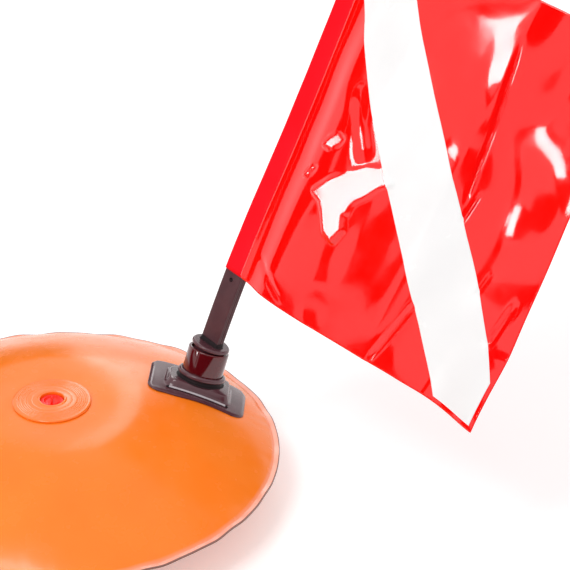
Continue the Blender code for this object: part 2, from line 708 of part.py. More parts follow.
def make_line_ring(frame):
    """The patch under the float, the strap welded on it and the ring that swings in the strap."""
    corner = PATCH_RADIUS * PATCH_ROUND_SHARE
    laid_patch("line_patch", 2 * PATCH_RADIUS, 2 * PATCH_RADIUS, corner, PATCH_THICKNESS, frame, -1,
               ORANGE_VINYL, (1, 1))
    strap_foot = GAP + PATCH_THICKNESS + GAP
    bar_height = strap_foot + RING_WIRE / 2 + GAP
    strap = flat_outline("ring_strap", [strap_outline(bar_height)], STRAP_WIDTH, ORANGE_VINYL, frame)
    strap.rotation_euler = (math.pi / 2, 0, 0)
    strap.location = (0, STRAP_WIDTH / 2, 0)

    bar = frame.matrix_world @ Vector((0, 0, bar_height))
    hang = math.asin((bar.z - RING_WIRE / 2 - GAP) / (RING_REACH - RING_WIRE / 2))
    curve = bpy.data.curves.new("line_ring", "CURVE")
    curve.dimensions = "3D"
    curve.bevel_depth = RING_WIRE / 2
    curve.bevel_resolution = 2
    points = ring_points()
    spline = curve.splines.new("POLY")
    spline.points.add(len(points) - 1)
    for point, (x, y) in zip(spline.points, points):
        point.co = (-x, y, 0, 1)
    spline.use_cyclic_u = True
    ring = add_object("line_ring", curve, STEEL)
    ring.location = bar
    ring.rotation_euler = (0, -hang, 0)


def main():
    make_float()
    make_valve()
    seat = skin_point(HOLDER_RADIUS, 1)
    socket = leaning_frame("socket_axis", seat, SOCKET_TILT, 1, HOLDER_TURN, SOCKET_HEADING)
    tube_top = make_holder(socket)
    mouth = socket.matrix_world @ Vector((0, 0, tube_top))
    staff = leaning_frame("staff_axis", mouth, STAFF_TILT, 1, FLAG_TURN)
    sleeve_foot = make_staff(staff, socket)
    make_flag(staff, sleeve_foot)
    ring_seat = skin_point(RING_SEAT_RADIUS, -1)
    make_line_ring(leaning_frame("ring_axis", ring_seat, shoulder_slope(RING_SEAT_RADIUS), -1, 0))


main()
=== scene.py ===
"""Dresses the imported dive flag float.

Finer meshes lie over the same frame, with procedural materials, a camera and a small studio.
"""

import math

import bmesh
import bpy
import numpy as np
from mathutils import Matrix, Vector


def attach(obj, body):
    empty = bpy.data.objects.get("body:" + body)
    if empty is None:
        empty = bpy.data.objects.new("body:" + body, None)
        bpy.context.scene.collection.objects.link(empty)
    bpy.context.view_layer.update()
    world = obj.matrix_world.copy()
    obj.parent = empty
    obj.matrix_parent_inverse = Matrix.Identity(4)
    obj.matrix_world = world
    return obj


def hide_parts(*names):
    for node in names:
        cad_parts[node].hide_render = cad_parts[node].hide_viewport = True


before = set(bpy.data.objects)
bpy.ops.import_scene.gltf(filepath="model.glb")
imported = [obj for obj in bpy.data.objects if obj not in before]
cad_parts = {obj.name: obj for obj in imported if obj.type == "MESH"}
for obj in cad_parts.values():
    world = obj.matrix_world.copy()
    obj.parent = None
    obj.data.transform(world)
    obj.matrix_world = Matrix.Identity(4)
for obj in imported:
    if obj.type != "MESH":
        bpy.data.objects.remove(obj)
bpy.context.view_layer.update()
scene = bpy.context.scene
scene.view_settings.view_transform = "Standard"

# Sizes shared with the CAD source, in metres and radians
GAP = 0.0003
FLOAT_RADIUS = 0.195
DOME_HEIGHT = 0.059
DOME_POWER = 0.85
BASE_RADIUS = 0.110
SKIN = 0.0008
RIM_WIDTH = 0.004
RIM_CLEARANCE = 0.0021
PLATE_LENGTH = 0.0896
PLATE_DEPTH = 0.066
PLATE_CORNER = 0.009
PLATE_THICKNESS = 0.0024
SOCKET_TILT = math.radians(22)
SOCKET_HEADING = math.radians(17.8)
HOLDER_TURN = math.radians(-44)
BLOCK_LENGTH = 0.058
BLOCK_DEPTH = 0.044
BLOCK_TOP = 0.0072
COLLAR_RADIUS = 0.0217
COLLAR_HEIGHT = 0.0077
COLLAR_EDGE = 0.0013
COLLAR_NECK = 0.0036
COLLAR_UNDERCUT = 0.0018
TUBE_RADIUS = 0.0184
TUBE_WALL = 0.0024
TUBE_HEIGHT = 0.0216
TUBE_SEAT = 0.0064
STAFF_TILT = math.radians(22.5)
CAP_RADIUS = 0.0174
CAP_THICKNESS = 0.0034
CAP_LIFT = 0.0008
HUB_HEIGHT = 0.0040
SHANK_LENGTH = 0.016
SHANK_SLACK = 0.0006
GRIP_RING_HEIGHT = 0.0024
GRIP_RING_DEPTH = 0.0010
GRIP_RING_DROP = 0.005
STAFF_WIDTH = 0.0198
STAFF_DEPTH = 0.0088
STAFF_BARE = 0.0720
STAFF_HOLE_RADIUS = 0.0021
STAFF_HOLE_DROP = 0.0075
FLAG_HOIST = 0.350
FLAG_FLY = 0.295
FLAG_TURN = math.radians(-68)
FLAG_RISE = 0.0052
SLEEVE_WALL = 0.0005
SLEEVE_TAIL = 0.008
PANEL_LAP = 0.002
PANEL_THICKNESS = 0.0004
STRIPE_THICKNESS = 0.0002
STRIPE_WIDTH = 0.064
STRIPE_DROP = 0.0075
STRIPE_MARGIN = 0.0045
VALVE_RADIUS = 0.0345
VALVE_THICKNESS = 0.0022
VALVE_STEM_RADIUS = 0.0130
VALVE_STEM_LENGTH = 0.020
VALVE_RECESS_RADIUS = 0.0106
VALVE_RECESS_DEPTH = 0.0048
VALVE_BORE_RADIUS = 0.0065
PATCH_RADIUS = 0.029
PATCH_THICKNESS = 0.0012
RING_CLEARANCE = 0.016
RING_WIRE = 0.0035
RING_LENGTH = 0.026
RING_REACH = 0.020
RING_CORNER = 0.0045
STRAP_WIDTH = 0.015
STRAP_LENGTH = 0.034
STRAP_THICKNESS = 0.0011

# Shapes of the real float, holder and staff that only the dressed model has, in metres
DISH_DEPTH = 0.0062
DISH_START = 0.024
DISH_WIDTH = 0.058
WELD_START = 0.1945
WELD_RADII = (0.1955, 0.1965, 0.1975, 0.1983, FLOAT_RADIUS + RIM_WIDTH)
PUCKER_COUNT = 64
WAVE_HEIGHT = 0.0005
RUFFLE_HEIGHT = 0.0006
BLOCK_CREST = 0.91
BLOCK_FALL = 0.75
FOOT_BAR_SPAN = (-0.0285, 0.0295)
FOOT_BAR_RADIUS = 0.0013
FOOT_BAR_END = 0.0023
STAFF_BOW = 0.0034
STAFF_BOW_END = 0.185

# Creases of the flag: start and end (metres from the hoist edge and the foot), width and depth
FLAG_CREASES = (
    ((0.153, -0.004), (0.177, 0.076), 0.0026, 0.0018),
    ((0.182, 0.160), (0.173, 0.320), 0.0018, 0.0022),
    ((0.190, 0.182), (0.184, 0.148), 0.0016, 0.0014),
    ((0.228, 0.128), (0.221, 0.098), 0.0016, 0.0008),
    ((0.045, 0.215), (0.085, 0.150), 0.0080, 0.0016),
    ((0.250, 0.060), (0.262, 0.120), 0.0040, 0.0010),
    ((0.012, 0.030), (0.060, 0.004), 0.0030, 0.0008))

# Facets pressed into the flag: outline, a place that keeps its level, and the soft edge's width
FLAG_FACETS = (
    ([(0.046, 0.110), (0.058, 0.128), (0.067, 0.136), (0.086, 0.1525), (0.092, 0.155), (0.102, 0.157),
      (0.113, 0.150), (0.104, 0.142), (0.096, 0.130), (0.088, 0.121), (0.086, 0.117), (0.085, 0.109),
      (0.082, 0.106), (0.087, 0.0935), (0.082, 0.080), (0.072, 0.084), (0.064, 0.097), (0.057, 0.106)],
     (0.088, 0.142), 0.004),
    ([(0.037, 0.150), (0.043, 0.150), (0.052, 0.157), (0.054, 0.163), (0.047, 0.165), (0.040, 0.158)],
     (0.046, 0.158), 0.004),
    ([(0.028, 0.116), (0.034, 0.122), (0.036, 0.127), (0.031, 0.126)], (0.032, 0.123), 0.003))

# Counts of points round or along the pieces
FLOAT_STEPS = 384
BLOCK_STEPS = 96
BAR_STEPS = 12
WIRE_STEPS = 14
FLAG_COLUMNS = 200
FLAG_ROWS = 230

# Studio: directions from the object in degrees, azimuth as for the camera, and the rest in metres
GLARE_AZIMUTH = -88.5
GLARE_ELEVATION = 9.2
GLARE_DISTANCE = 3.0
GLARE_TARGET = (0.19, 0.05, 0.30)
# Soft boxes: name, azimuth, elevation, distance, width, height, radiance (1 is white) and target
SOFT_BOXES = (
    ("key_box", -56, 58, 2.1, 0.75, 0.70, 9.2, (0.08, 0, 0.2)),
    ("glare_box", GLARE_AZIMUTH, GLARE_ELEVATION, GLARE_DISTANCE, 0.40, 0.26, 18, GLARE_TARGET),
    ("strip_box", 152.5, 31, 2.0, 0.38, 1.65, 2.3, (0.02, 0, 0.12)))
# Black backdrop panels: name, first and last azimuth, lower and upper height, and distance
BACKDROP_PANELS = (
    ("backdrop_left", -128, -113, 0.0, 1.1, 3.6),
    ("backdrop_high", -112, -86, 0.66, 1.2, 3.6),
    ("backdrop_upper", -109, -97, 0.335, 0.7, 1.2),
    ("backdrop_low", -118, -60, 0.0, 0.178, 0.75),
    ("backdrop_front", -79.5, -74.5, 0.22, 0.5, 0.9),
    ("backdrop_side", -71, -58, 0.16, 1.1, 3.6),
    ("backdrop_near", -58, 44, 0.0, 0.55, 1.3),
    ("backdrop_back", 159, 186, 0.02, 1.0, 2.6),
    ("backdrop_right", 92, 144, 0.75, 3.4, 2.4))
FLOOR_HALF = 6
FLOOR_DROP = 0.0005

# Camera, fitted to the outlines in the photograph: degrees, metres a pixel, and the rest in pixels
VIEW_AZIMUTH = -23.4
VIEW_ELEVATION = 30.6
METRES_A_PIXEL = 0.000873
DISTANCE_PIXELS = 3000
PICTURE = 570
VALVE_PIXEL = (51.7, 394.9)
SENSOR_MILLIMETRES = 36


def heading(azimuth, elevation):
    """The unit vector from the object towards this azimuth and elevation in degrees."""
    azimuth, elevation = math.radians(azimuth), math.radians(elevation)
    flat = math.cos(elevation)
    return Vector((math.sin(azimuth) * flat, -math.cos(azimuth) * flat, math.sin(elevation)))


def smoothstep(value):
    value = np.clip(value, 0, 1)
    return value * value * (3 - 2 * value)


def dome_rise(radius):
    share = np.clip(1 - (np.asarray(radius, float) / FLOAT_RADIUS) ** 2, 0, 1)
    return DOME_HEIGHT * share**DOME_POWER


def dome_slope(radius):
    share = radius / FLOAT_RADIUS
    fall = 2 * DOME_POWER * DOME_HEIGHT * share * (1 - share**2) ** (DOME_POWER - 1)
    return math.atan(fall / FLOAT_RADIUS)


def dish_drop(radius):
    """How far the slack sheet dishes in round the valve."""
    return DISH_DEPTH * (1 - smoothstep((np.asarray(radius, float) - DISH_START) / DISH_WIDTH))


RIM_Z = dome_rise(BASE_RADIUS)
TOP_Z = RIM_Z + DOME_HEIGHT
VALVE_TOP = TOP_Z + VALVE_THICKNESS - DISH_DEPTH
VALVE_LEDGE = VALVE_TOP - VALVE_RECESS_DEPTH
HOLDER_RADIUS = FLOAT_RADIUS - RIM_CLEARANCE - math.hypot(PLATE_LENGTH, PLATE_DEPTH) / 2
RING_SEAT_RADIUS = FLOAT_RADIUS - RING_CLEARANCE - PATCH_RADIUS


def leaning_frame(origin, tilt, side, turn, bearing=0):
    """A matrix whose Z leans by tilt towards the bearing, as in the CAD source."""
    outward = Vector((side * math.sin(tilt), 0, side * math.cos(tilt)))
    downhill = Vector((side * math.cos(tilt), 0, -side * math.sin(tilt)))
    along = Matrix.Rotation(turn, 3, outward) @ downhill
    swing = Matrix.Rotation(bearing, 3, "Z")
    outward, along = swing @ outward, swing @ along
    across = outward.cross(along).normalized()
    ahead = across.cross(outward)
    return Matrix.Translation(Vector(origin)) @ Matrix((ahead, across, outward)).transposed().to_4x4()


SOCKET = leaning_frame(
    (HOLDER_RADIUS, 0, RIM_Z + dome_rise(HOLDER_RADIUS)), SOCKET_TILT, 1, HOLDER_TURN, SOCKET_HEADING)
COLLAR_TOP = BLOCK_TOP + COLLAR_HEIGHT
TUBE_TOP = COLLAR_TOP + TUBE_HEIGHT
STAFF = leaning_frame(SOCKET @ Vector((0, 0, TUBE_TOP)), STAFF_TILT, 1, FLAG_TURN)
ROCK = math.tan(SOCKET.col[2].to_3d().angle(STAFF.col[2].to_3d()))
CAP_FOOT = CAP_RADIUS * ROCK + CAP_LIFT
CAP_TOP = CAP_FOOT + CAP_THICKNESS
SLEEVE_FOOT = CAP_TOP + STAFF_BARE
RING_FRAME = leaning_frame(
    (-RING_SEAT_RADIUS, 0, RIM_Z - dome_rise(RING_SEAT_RADIUS)), dome_slope(RING_SEAT_RADIUS), -1, 0)


def new_object(name, data):
    thing = bpy.data.objects.new(name, data)
    scene.collection.objects.link(thing)
    return thing


# Camera
def make_camera():
    azimuth = math.radians(VIEW_AZIMUTH)
    right = Vector((math.cos(azimuth), math.sin(azimuth), 0))
    back = heading(VIEW_AZIMUTH, VIEW_ELEVATION)
    up = back.cross(right)
    half = PICTURE / 2
    target = Vector((0, 0, TOP_Z))
    target += right * (half - VALVE_PIXEL[0]) * METRES_A_PIXEL
    target += up * (VALVE_PIXEL[1] - half) * METRES_A_PIXEL
    data = bpy.data.cameras.new("camera")
    data.sensor_width = SENSOR_MILLIMETRES
    data.lens = DISTANCE_PIXELS * SENSOR_MILLIMETRES / PICTURE
    data.clip_start = 0.1
    data.clip_end = 50
    camera = new_object("camera", data)
    turn = Matrix((right, up, back)).transposed().to_4x4()
    camera.matrix_world = Matrix.Translation(target + back * DISTANCE_PIXELS * METRES_A_PIXEL) @ turn
    scene.camera = camera


make_camera()


# Materials
class Nodes:
    """Adds and links the shader nodes of a new material or world."""

    def __init__(self, owner):
        self.owner = owner
        owner.use_nodes = True
        self.tree = owner.node_tree

    def feed(self, node, inputs):
        """Links sockets to a node's inputs, and sets its other inputs to plain values."""
        for key, value in inputs.items():
            if isinstance(value, bpy.types.NodeSocket):
                self.tree.links.new(value, node.inputs[key])
            else:
                node.inputs[key].default_value = value

    def add(self, kind, inputs, **settings):
        node = self.tree.nodes.new(kind)
        for key, value in settings.items():
            setattr(node, key, value)
        self.feed(node, inputs)
        return node

    def noise(self, vector, scale, detail=3.0, rough=0.5, distortion=0.0):
        inputs = {"Vector": vector, "Scale": scale, "Detail": detail}
        inputs |= {"Roughness": rough, "Distortion": distortion}
        return self.add("ShaderNodeTexNoise", inputs).outputs["Fac"]

    def span(self, value, low, high, from_low=0.3, from_high=0.7):
        inputs = {"Value": value, "From Min": from_low, "From Max": from_high, "To Min": low, "To Max": high}
        return self.add("ShaderNodeMapRange", inputs).outputs["Result"]

    def mix(self, share, first, second):
        """Mixes two colours; the node's inputs 0, 6 and 7 are its factor and its colours."""
        first, second = [(*c, 1) if isinstance(c, tuple) else c for c in (first, second)]
        return self.add("ShaderNodeMix", {0: share, 6: first, 7: second}, data_type="RGBA").outputs[2]

    def bump(self, height, distance, **normal):
        inputs = {"Height": height, "Strength": 1.0, "Distance": distance, **normal}
        return self.add("ShaderNodeBump", inputs).outputs["Normal"]

    def seen_directly(self):
        """A socket that is 1 for camera, glossy and transmission rays, and 0 for diffuse light."""
        kinds = self.add("ShaderNodeLightPath", {}).outputs
        share = kinds["Is Camera Ray"]
        for kind in ("Is Glossy Ray", "Is Transmission Ray"):
            share = self.add("ShaderNodeMath", {0: share, 1: kinds[kind]}, operation="MAXIMUM").outputs[0]
        return share


def surface(name, low, high, roughness, noises, wave, grain, bands, constants):
    """A material with a drift of colour and of roughness, waves and a fine grain, each by its own noise.

    Bands are (inner radius, outer radius, colour) steps round the Z axis: on the orange sheet a pale band at
    the weld, partly the weld's own tone and partly painted sheen, and a thin dark band by the outer edge,
    painted shade.
    """
    n = Nodes(bpy.data.materials.new(name))
    place = n.add("ShaderNodeTexCoord", {}).outputs["Object"]
    drift, gloss, long, fine = [n.noise(place, *settings) for settings in noises]
    color = n.mix(n.span(drift, 0, 1), low, high)
    if bands:
        flat = n.add("ShaderNodeVectorMath", {0: place, 1: (1, 1, 0)}, operation="MULTIPLY").outputs[0]
        radius = n.add("ShaderNodeVectorMath", {0: flat}, operation="LENGTH").outputs["Value"]
        for inner, outer, tint in bands:
            color = n.mix(n.span(radius, 0, 1, inner, outer), color, tint)
    normal = n.bump(fine, grain, Normal=n.bump(long, wave))
    shader = n.tree.nodes["Principled BSDF"]
    n.feed(shader, {"Base Color": color, "Roughness": n.span(gloss, *roughness), "Normal": normal})
    n.feed(shader, {key.replace("_", " "): value for key, value in constants.items()})
    return n.owner


def sheet_material(name, low, high, roughness, wave, wave_scale, grain, bands=(), **constants):
    """Smooth vinyl sheet."""
    noises = ((14, 4), (55, 3), (wave_scale, 2, 0.4), (1500, 2))
    return surface(name, low, high, roughness, noises, wave, grain, bands, constants)


def moulded_material(name, low, high, roughness, grain, **constants):
    """Moulded plastic with faint flow marks."""
    noises = ((45, 4, 0.6, 0.6), (120, 4), (160, 2), (2600, 3, 0.6))
    return surface(name, low, high, roughness, noises, grain * 1.5, grain, (), constants)


# The pale band at the weld is partly the weld's own tone and partly painted sheen; the thin dark band near
# the outer edge is painted shade.
ORANGE = sheet_material(
    "orange_sheet", (1.0, 0.20, 0.008), (1.0, 0.225, 0.014), (0.20, 0.30), 0.0006, 18, 0.000004,
    [(0.1915, 0.1950, (1.0, 0.37, 0.24)), (0.1979, 0.1984, (0.30, 0.14, 0.11))],
    IOR=1.40, Coat_Weight=0.12, Coat_Roughness=0.10)
VALVE_ORANGE = sheet_material(
    "valve_orange", (1.0, 0.19, 0.010), (1.0, 0.22, 0.02), (0.14, 0.22), 0.0003, 60, 0.000004,
    IOR=1.5, Coat_Weight=0.4, Coat_Roughness=0.08)
PLUG_RED = moulded_material(
    "plug_red", (0.93, 0.006, 0.0), (1.0, 0.02, 0.001), (0.2, 0.3), 0.000006, IOR=1.35)
RED = sheet_material(
    "red_sheet", (0.94, 0.0008, 0.0006), (0.98, 0.004, 0.0015), (0.05, 0.11), 0.00025, 26, 0.000001,
    IOR=1.5, Coat_Weight=0.3, Coat_Roughness=0.03)
SLEEVE_RED = sheet_material(
    "sleeve_red", (0.90, 0.003, 0.010), (0.98, 0.006, 0.018), (0.3, 0.42), 0.0003, 40, 0.000003,
    IOR=1.3, Specular_IOR_Level=0.12)
WHITE = sheet_material(
    "white_film", (0.85, 0.845, 0.85), (0.88, 0.88, 0.88), (0.18, 0.28), 0.0003, 30, 0.000003, IOR=1.45)
MOULDING = moulded_material(
    "soft_black", (0.075, 0.022, 0.030), (0.105, 0.036, 0.046), (0.16, 0.27), 0.00002,
    IOR=1.48, Coat_Weight=0.2, Coat_Roughness=0.15)
GLOSS = moulded_material(
    "gloss_dark_red", (0.070, 0.0012, 0.0030), (0.115, 0.0025, 0.0055), (0.05, 0.10), 0.000003,
    IOR=1.5, Coat_Weight=0.4, Coat_Roughness=0.03)
STAFF_DARK = moulded_material(
    "staff_dark", (0.066, 0.020, 0.026), (0.090, 0.030, 0.036), (0.30, 0.42), 0.000012, IOR=1.4)
# Painted shade: near-black faces for the collar's undercut, the foot bar's underside and ends, and the staff
# hub.
SHADE = moulded_material(
    "painted_shade_black", (0.010, 0.005, 0.006), (0.018, 0.009, 0.011), (0.5, 0.7), 0.00001, IOR=1.3)
# Painted highlight: the pale finish of the foot bar's crest.
PAINTED_HIGHLIGHT = moulded_material("painted_highlight_edge", (0.38, 0.33, 0.35), (0.52, 0.46, 0.49), (0.18, 0.3), 0.00001, IOR=1.5)
RUBBER = moulded_material("dull_rubber", (0.018, 0.018, 0.018), (0.03, 0.03, 0.03), (0.6, 0.8), 0.00003)
STEEL = moulded_material(
    "bright_steel", (0.55, 0.55, 0.56), (0.66, 0.66, 0.67), (0.14, 0.26), 0.000004, Metallic=1.0)


def paint_cad_piece(node, material):
    """Gives its finish to a CAD piece that shows as it is."""
    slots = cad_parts[node].data.materials
    slots.clear()
    slots.append(material)


# Mesh helpers
def add_piece(name, points, faces, material, body, node=None, matrix=None, sharp=40):
    """A piece made of points and faces, riding on a CAD body and taking the place of a node."""
    mesh = bpy.data.meshes.new(name)
    mesh.from_pydata(np.array(points, float).tolist(), [], faces)
    shape = bmesh.new()
    shape.from_mesh(mesh)
    bmesh.ops.remove_doubles(shape, verts=shape.verts, dist=1e-7)
    bmesh.ops.recalc_face_normals(shape, faces=shape.faces)
    shape.to_mesh(mesh)
    shape.free()
    return place_mesh(name, mesh, material, body, node, matrix, sharp)


def place_mesh(name, mesh, material, body, node, matrix, sharp):
    if matrix is not None:
        mesh.transform(matrix)
    mesh.shade_smooth()
    mesh.set_sharp_from_angle(angle=math.radians(sharp))
    mesh.materials.append(material)
    piece = new_object(name, mesh)
    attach(piece, body)
    if node:
        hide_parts(node)
    return piece


def grid_faces(rows, columns, wrap=False):
    """Quads of a grid whose points run row by row."""
    faces = []
    for row in range(rows - 1):
        for column in range(columns if wrap else columns - 1):
            beside = (column + 1) % columns
            faces.append((row * columns + column, row * columns + beside,
                          (row + 1) * columns + beside, (row + 1) * columns + column))
    return faces


def closed_faces(rows, columns):
    """A tube's quads and its two ends."""
    ends = [tuple(range(columns)), tuple(range((rows - 1) * columns, rows * columns))]
    return grid_faces(rows, columns, True) + ends


def circle(steps):
    """Cosines and sines of evenly spaced angles."""
    angles = np.arange(steps) * math.tau / steps
    return list(zip(np.cos(angles), np.sin(angles)))


def softened(profile, steps=4):
    """Rounds the corners of a list of (x, y, radius) points."""
    points = []
    count = len(profile)
    for index, (x, y, radius) in enumerate(profile):
        if radius <= 0 or index in (0, count - 1):
            points.append((x, y))
            continue
        here = Vector((x, y))
        before = Vector(profile[index - 1][:2]) - here
        after = Vector(profile[index + 1][:2]) - here
        reach = min(radius, before.length * 0.49, after.length * 0.49)
        start, end = here + before.normalized() * reach, here + after.normalized() * reach
        for step in range(steps + 1):
            t = step / steps
            points.append(tuple(start * (1 - t) ** 2 + here * 2 * t * (1 - t) + end * t**2))
    return points


def turned(name, profile, material, body, node=None, matrix=None, steps=128, sharp=40, seat=None):
    """Turns (radius, height, corner radius) points round Z; seat gives the height they lie on."""
    line = softened(profile)
    points = []
    for radius, height in line:
        for c, s in circle(steps):
            x, y = radius * c, radius * s
            points.append((x, y, height + (seat(x, y) if seat else 0)))
    faces = grid_faces(len(line), steps, True)
    return add_piece(name, points, faces, material, body, node, matrix, sharp)


def thicken(piece, thickness, offset):
    shell = piece.modifiers.new("shell", "SOLIDIFY")
    shell.thickness = thickness
    shell.offset = offset
    shell.use_even_offset = True


def seat_heights(matrix, x, y, side):
    """Heights in the frame at which the x, y lines meet the skin of the upper (1) or lower (-1) side."""
    height = np.zeros_like(x)
    rows = np.array(matrix)
    for _ in range(8):
        world = np.stack([x, y, height, np.ones_like(x)], -1) @ rows.T
        reach = np.hypot(world[..., 0], world[..., 1])
        height = height - side * (world[..., 2] - RIM_Z) + dome_rise(reach)
    return height


# Float
RANDOM = np.random.default_rng(11)
PUCKER_ANGLES = np.linspace(0, math.tau, PUCKER_COUNT, endpoint=False)
PUCKER_ANGLES += RANDOM.uniform(-0.03, 0.03, PUCKER_COUNT)
PUCKERS = [(angle, RANDOM.uniform(0.012, 0.03), RANDOM.uniform(0.012, 0.034), RANDOM.uniform(0.0001, 0.0004))
           for angle in PUCKER_ANGLES]


def skin_relief(radius, angle):
    """Height of the skin's waves and rim puckers over the plain dome."""
    relief = np.zeros_like(radius)
    before_weld = 1 - smoothstep((radius - 0.1935) / 0.004)
    for place, width, reach, depth in PUCKERS:
        away = ((angle - place + math.pi) % math.tau - math.pi) / width
        fade = smoothstep((radius - (FLOAT_RADIUS - reach)) / reach) * before_weld
        relief -= depth * np.exp(-away**2) * fade
    x, y = radius * np.cos(angle), radius * np.sin(angle)
    inner = smoothstep((radius - 0.034) / 0.03) * (1 - smoothstep((radius - 0.170) / 0.022))
    relief += WAVE_HEIGHT * inner * np.sin(x * 31 + 1.3 + 2.2 * np.sin(y * 17)) * np.cos(y * 27 - 0.4)
    return relief


def rim_ruffle(radius, angle):
    edge = smoothstep((radius - 0.186) / 0.012)
    wave = np.sin(angle * 23 + 0.7 * np.sin(angle * 5)) + 0.5 * np.sin(angle * 41 + 1.1)
    return RUFFLE_HEIGHT * edge * wave


def float_sheet(name, side, radii, node):
    angles = np.linspace(0, math.tau, FLOAT_STEPS, endpoint=False)
    radius, angle = np.meshgrid(radii, angles, indexing="ij")
    rise = np.maximum(dome_rise(radius), GAP / 2 + SKIN)
    height = RIM_Z + side * (rise + skin_relief(radius, angle)) + rim_ruffle(radius, angle)
    faces = grid_faces(len(radii), FLOAT_STEPS, True)
    if side > 0:
        height = height - dish_drop(radius)
        faces = [face[::-1] for face in faces]
    else:
        height = np.where(radius < BASE_RADIUS, 0, np.maximum(height, 0))
    points = np.stack([radius * np.cos(angle), radius * np.sin(angle), height], -1).reshape(-1, 3)
    piece = add_piece(name, points, faces, ORANGE, "float", node, sharp=50)
    thicken(piece, SKIN, -side)


def make_float():
    hole = VALVE_STEM_RADIUS + GAP
    share = np.sin(np.linspace(0, 1, 90) * math.pi / 2) ** 0.9
    float_sheet("float_upper_sheet", 1, [*(hole + (WELD_START - hole) * share), *WELD_RADII], "upper_panel")
    flat = (0.0005, 0.03, 0.06, 0.09, 0.105, 0.109, 0.111, 0.113)
    shoulder = 0.115
    share = np.sin(np.linspace(0.02, 1, 40) * math.pi / 2)
    lower = [*flat, *(shoulder + (WELD_START - shoulder) * share), *WELD_RADII]
    float_sheet("float_lower_sheet", -1, lower, "lower_panel")


# Valve
def make_valve_disc():
    """A shallow disc with fine rings round its recess, on a stem."""
    foot = TOP_Z - VALVE_STEM_LENGTH
    edge = VALVE_RADIUS
    drop = DOME_HEIGHT - dome_rise(edge)
    lip = VALVE_TOP + 0.0004
    rim = VALVE_RECESS_RADIUS + 0.0016
    half = 0.00055

    def over(radius):
        return VALVE_TOP - drop * (radius / edge) ** 2 + (DISH_DEPTH - dish_drop(radius))

    def under(radius):
        return RIM_Z + dome_rise(radius) - dish_drop(radius) + GAP

    profile = [(VALVE_BORE_RADIUS, foot, 0), (VALVE_BORE_RADIUS, VALVE_LEDGE, 0.0004)]
    profile += [(VALVE_RECESS_RADIUS, VALVE_LEDGE, 0.0006), (VALVE_RECESS_RADIUS, lip, 0.0006)]
    profile += [(rim, lip, 0.0007), (rim + 0.0009, over(rim), 0.0006)]
    fine_rings = [(0.0222 + 0.0018 * index, 0.00022 if index % 2 else 0.0003) for index in range(6)]
    for ring, height in [(0.0178, 0.00016), *fine_rings]:
        profile += [(ring - half, over(ring - half), 0.0003), (ring, over(ring) + height, 0.0004)]
        profile.append((ring + half, over(ring + half), 0.0003))
    middle = (edge + VALVE_STEM_RADIUS) / 2
    profile += [(edge - 0.0012, over(edge - 0.0012), 0.0006), (edge, over(edge) - 0.0007, 0.0006)]
    profile += [(edge, under(edge), 0.0002), (middle, under(middle), 0)]
    profile += [(VALVE_STEM_RADIUS, under(VALVE_STEM_RADIUS), 0), (VALVE_STEM_RADIUS, foot, 0.0004)]
    profile.append((VALVE_BORE_RADIUS, foot, 0))
    turned("valve_disc", profile, VALVE_ORANGE, "float", "valve_flange", steps=160)


def make_valve_plug():
    """The plug's dished head and shank, and the small tab that it is pulled by."""
    head = VALVE_RECESS_RADIUS - GAP
    shank = VALVE_BORE_RADIUS - GAP
    seat = VALVE_LEDGE + GAP
    face = seat + 0.0030
    profile = [(0, face - 0.0010, 0), (head * 0.55, face - 0.0010, 0.001), (head * 0.7, face, 0.001)]
    profile += [(head, face, 0.0012), (head, seat, 0.0005), (shank, seat, 0.0004)]
    profile += [(shank + 0.0002, seat - 0.006, 0.0006), (shank - 0.0007, seat - 0.0092, 0.0006)]
    profile.append((0, seat - 0.010, 0))
    turned("valve_plug_head", profile, PLUG_RED, "valve_plug", "valve_plug", steps=72)
    half, height = 0.0050, 0.0046
    turns = np.linspace(0, math.pi, 25)
    outline = [(half * math.cos(turn), height * math.sin(turn) ** 0.7) for turn in turns]
    layers = ((-0.0009, 0.88), (-0.0006, 1.0), (0.0006, 1.0), (0.0009, 0.88))
    points = [(x * shrink, depth, z * shrink) for depth, shrink in layers for x, z in outline]
    faces = closed_faces(len(layers), len(outline))
    matrix = Matrix.Translation((0, 0, face - 0.0012)) @ Matrix.Rotation(math.radians(70), 4, "Z")
    add_piece("valve_plug_tab", points, faces, PLUG_RED, "valve_plug", matrix=matrix)


# Holder
def rounded_square(u, v, half_x, half_y, corner):
    """Maps the square -1..1 to a rectangle with round corners."""
    x, y = u * half_x, v * half_y
    over_x = (np.abs(x) - (half_x - corner)) / corner
    over_y = (np.abs(y) - (half_y - corner)) / corner
    inside = (over_x > 0) & (over_y > 0)
    round_x = over_x * np.sqrt(np.clip(1 - over_y**2 / 2, 0, 1))
    round_y = over_y * np.sqrt(np.clip(1 - over_x**2 / 2, 0, 1))
    x = np.where(inside, np.sign(x) * (half_x - corner + corner * round_x), x)
    y = np.where(inside, np.sign(y) * (half_y - corner + corner * round_y), y)
    return x, y


def close_lines(middle, end, inner_count, outer_count):
    """Places from -1 to 1 that lie closer together beyond the middle part."""
    outer = np.linspace(middle, end, outer_count)
    return np.concatenate([[-1], -outer[::-1], np.linspace(-middle, middle, inner_count)[1:-1], outer, [1]])


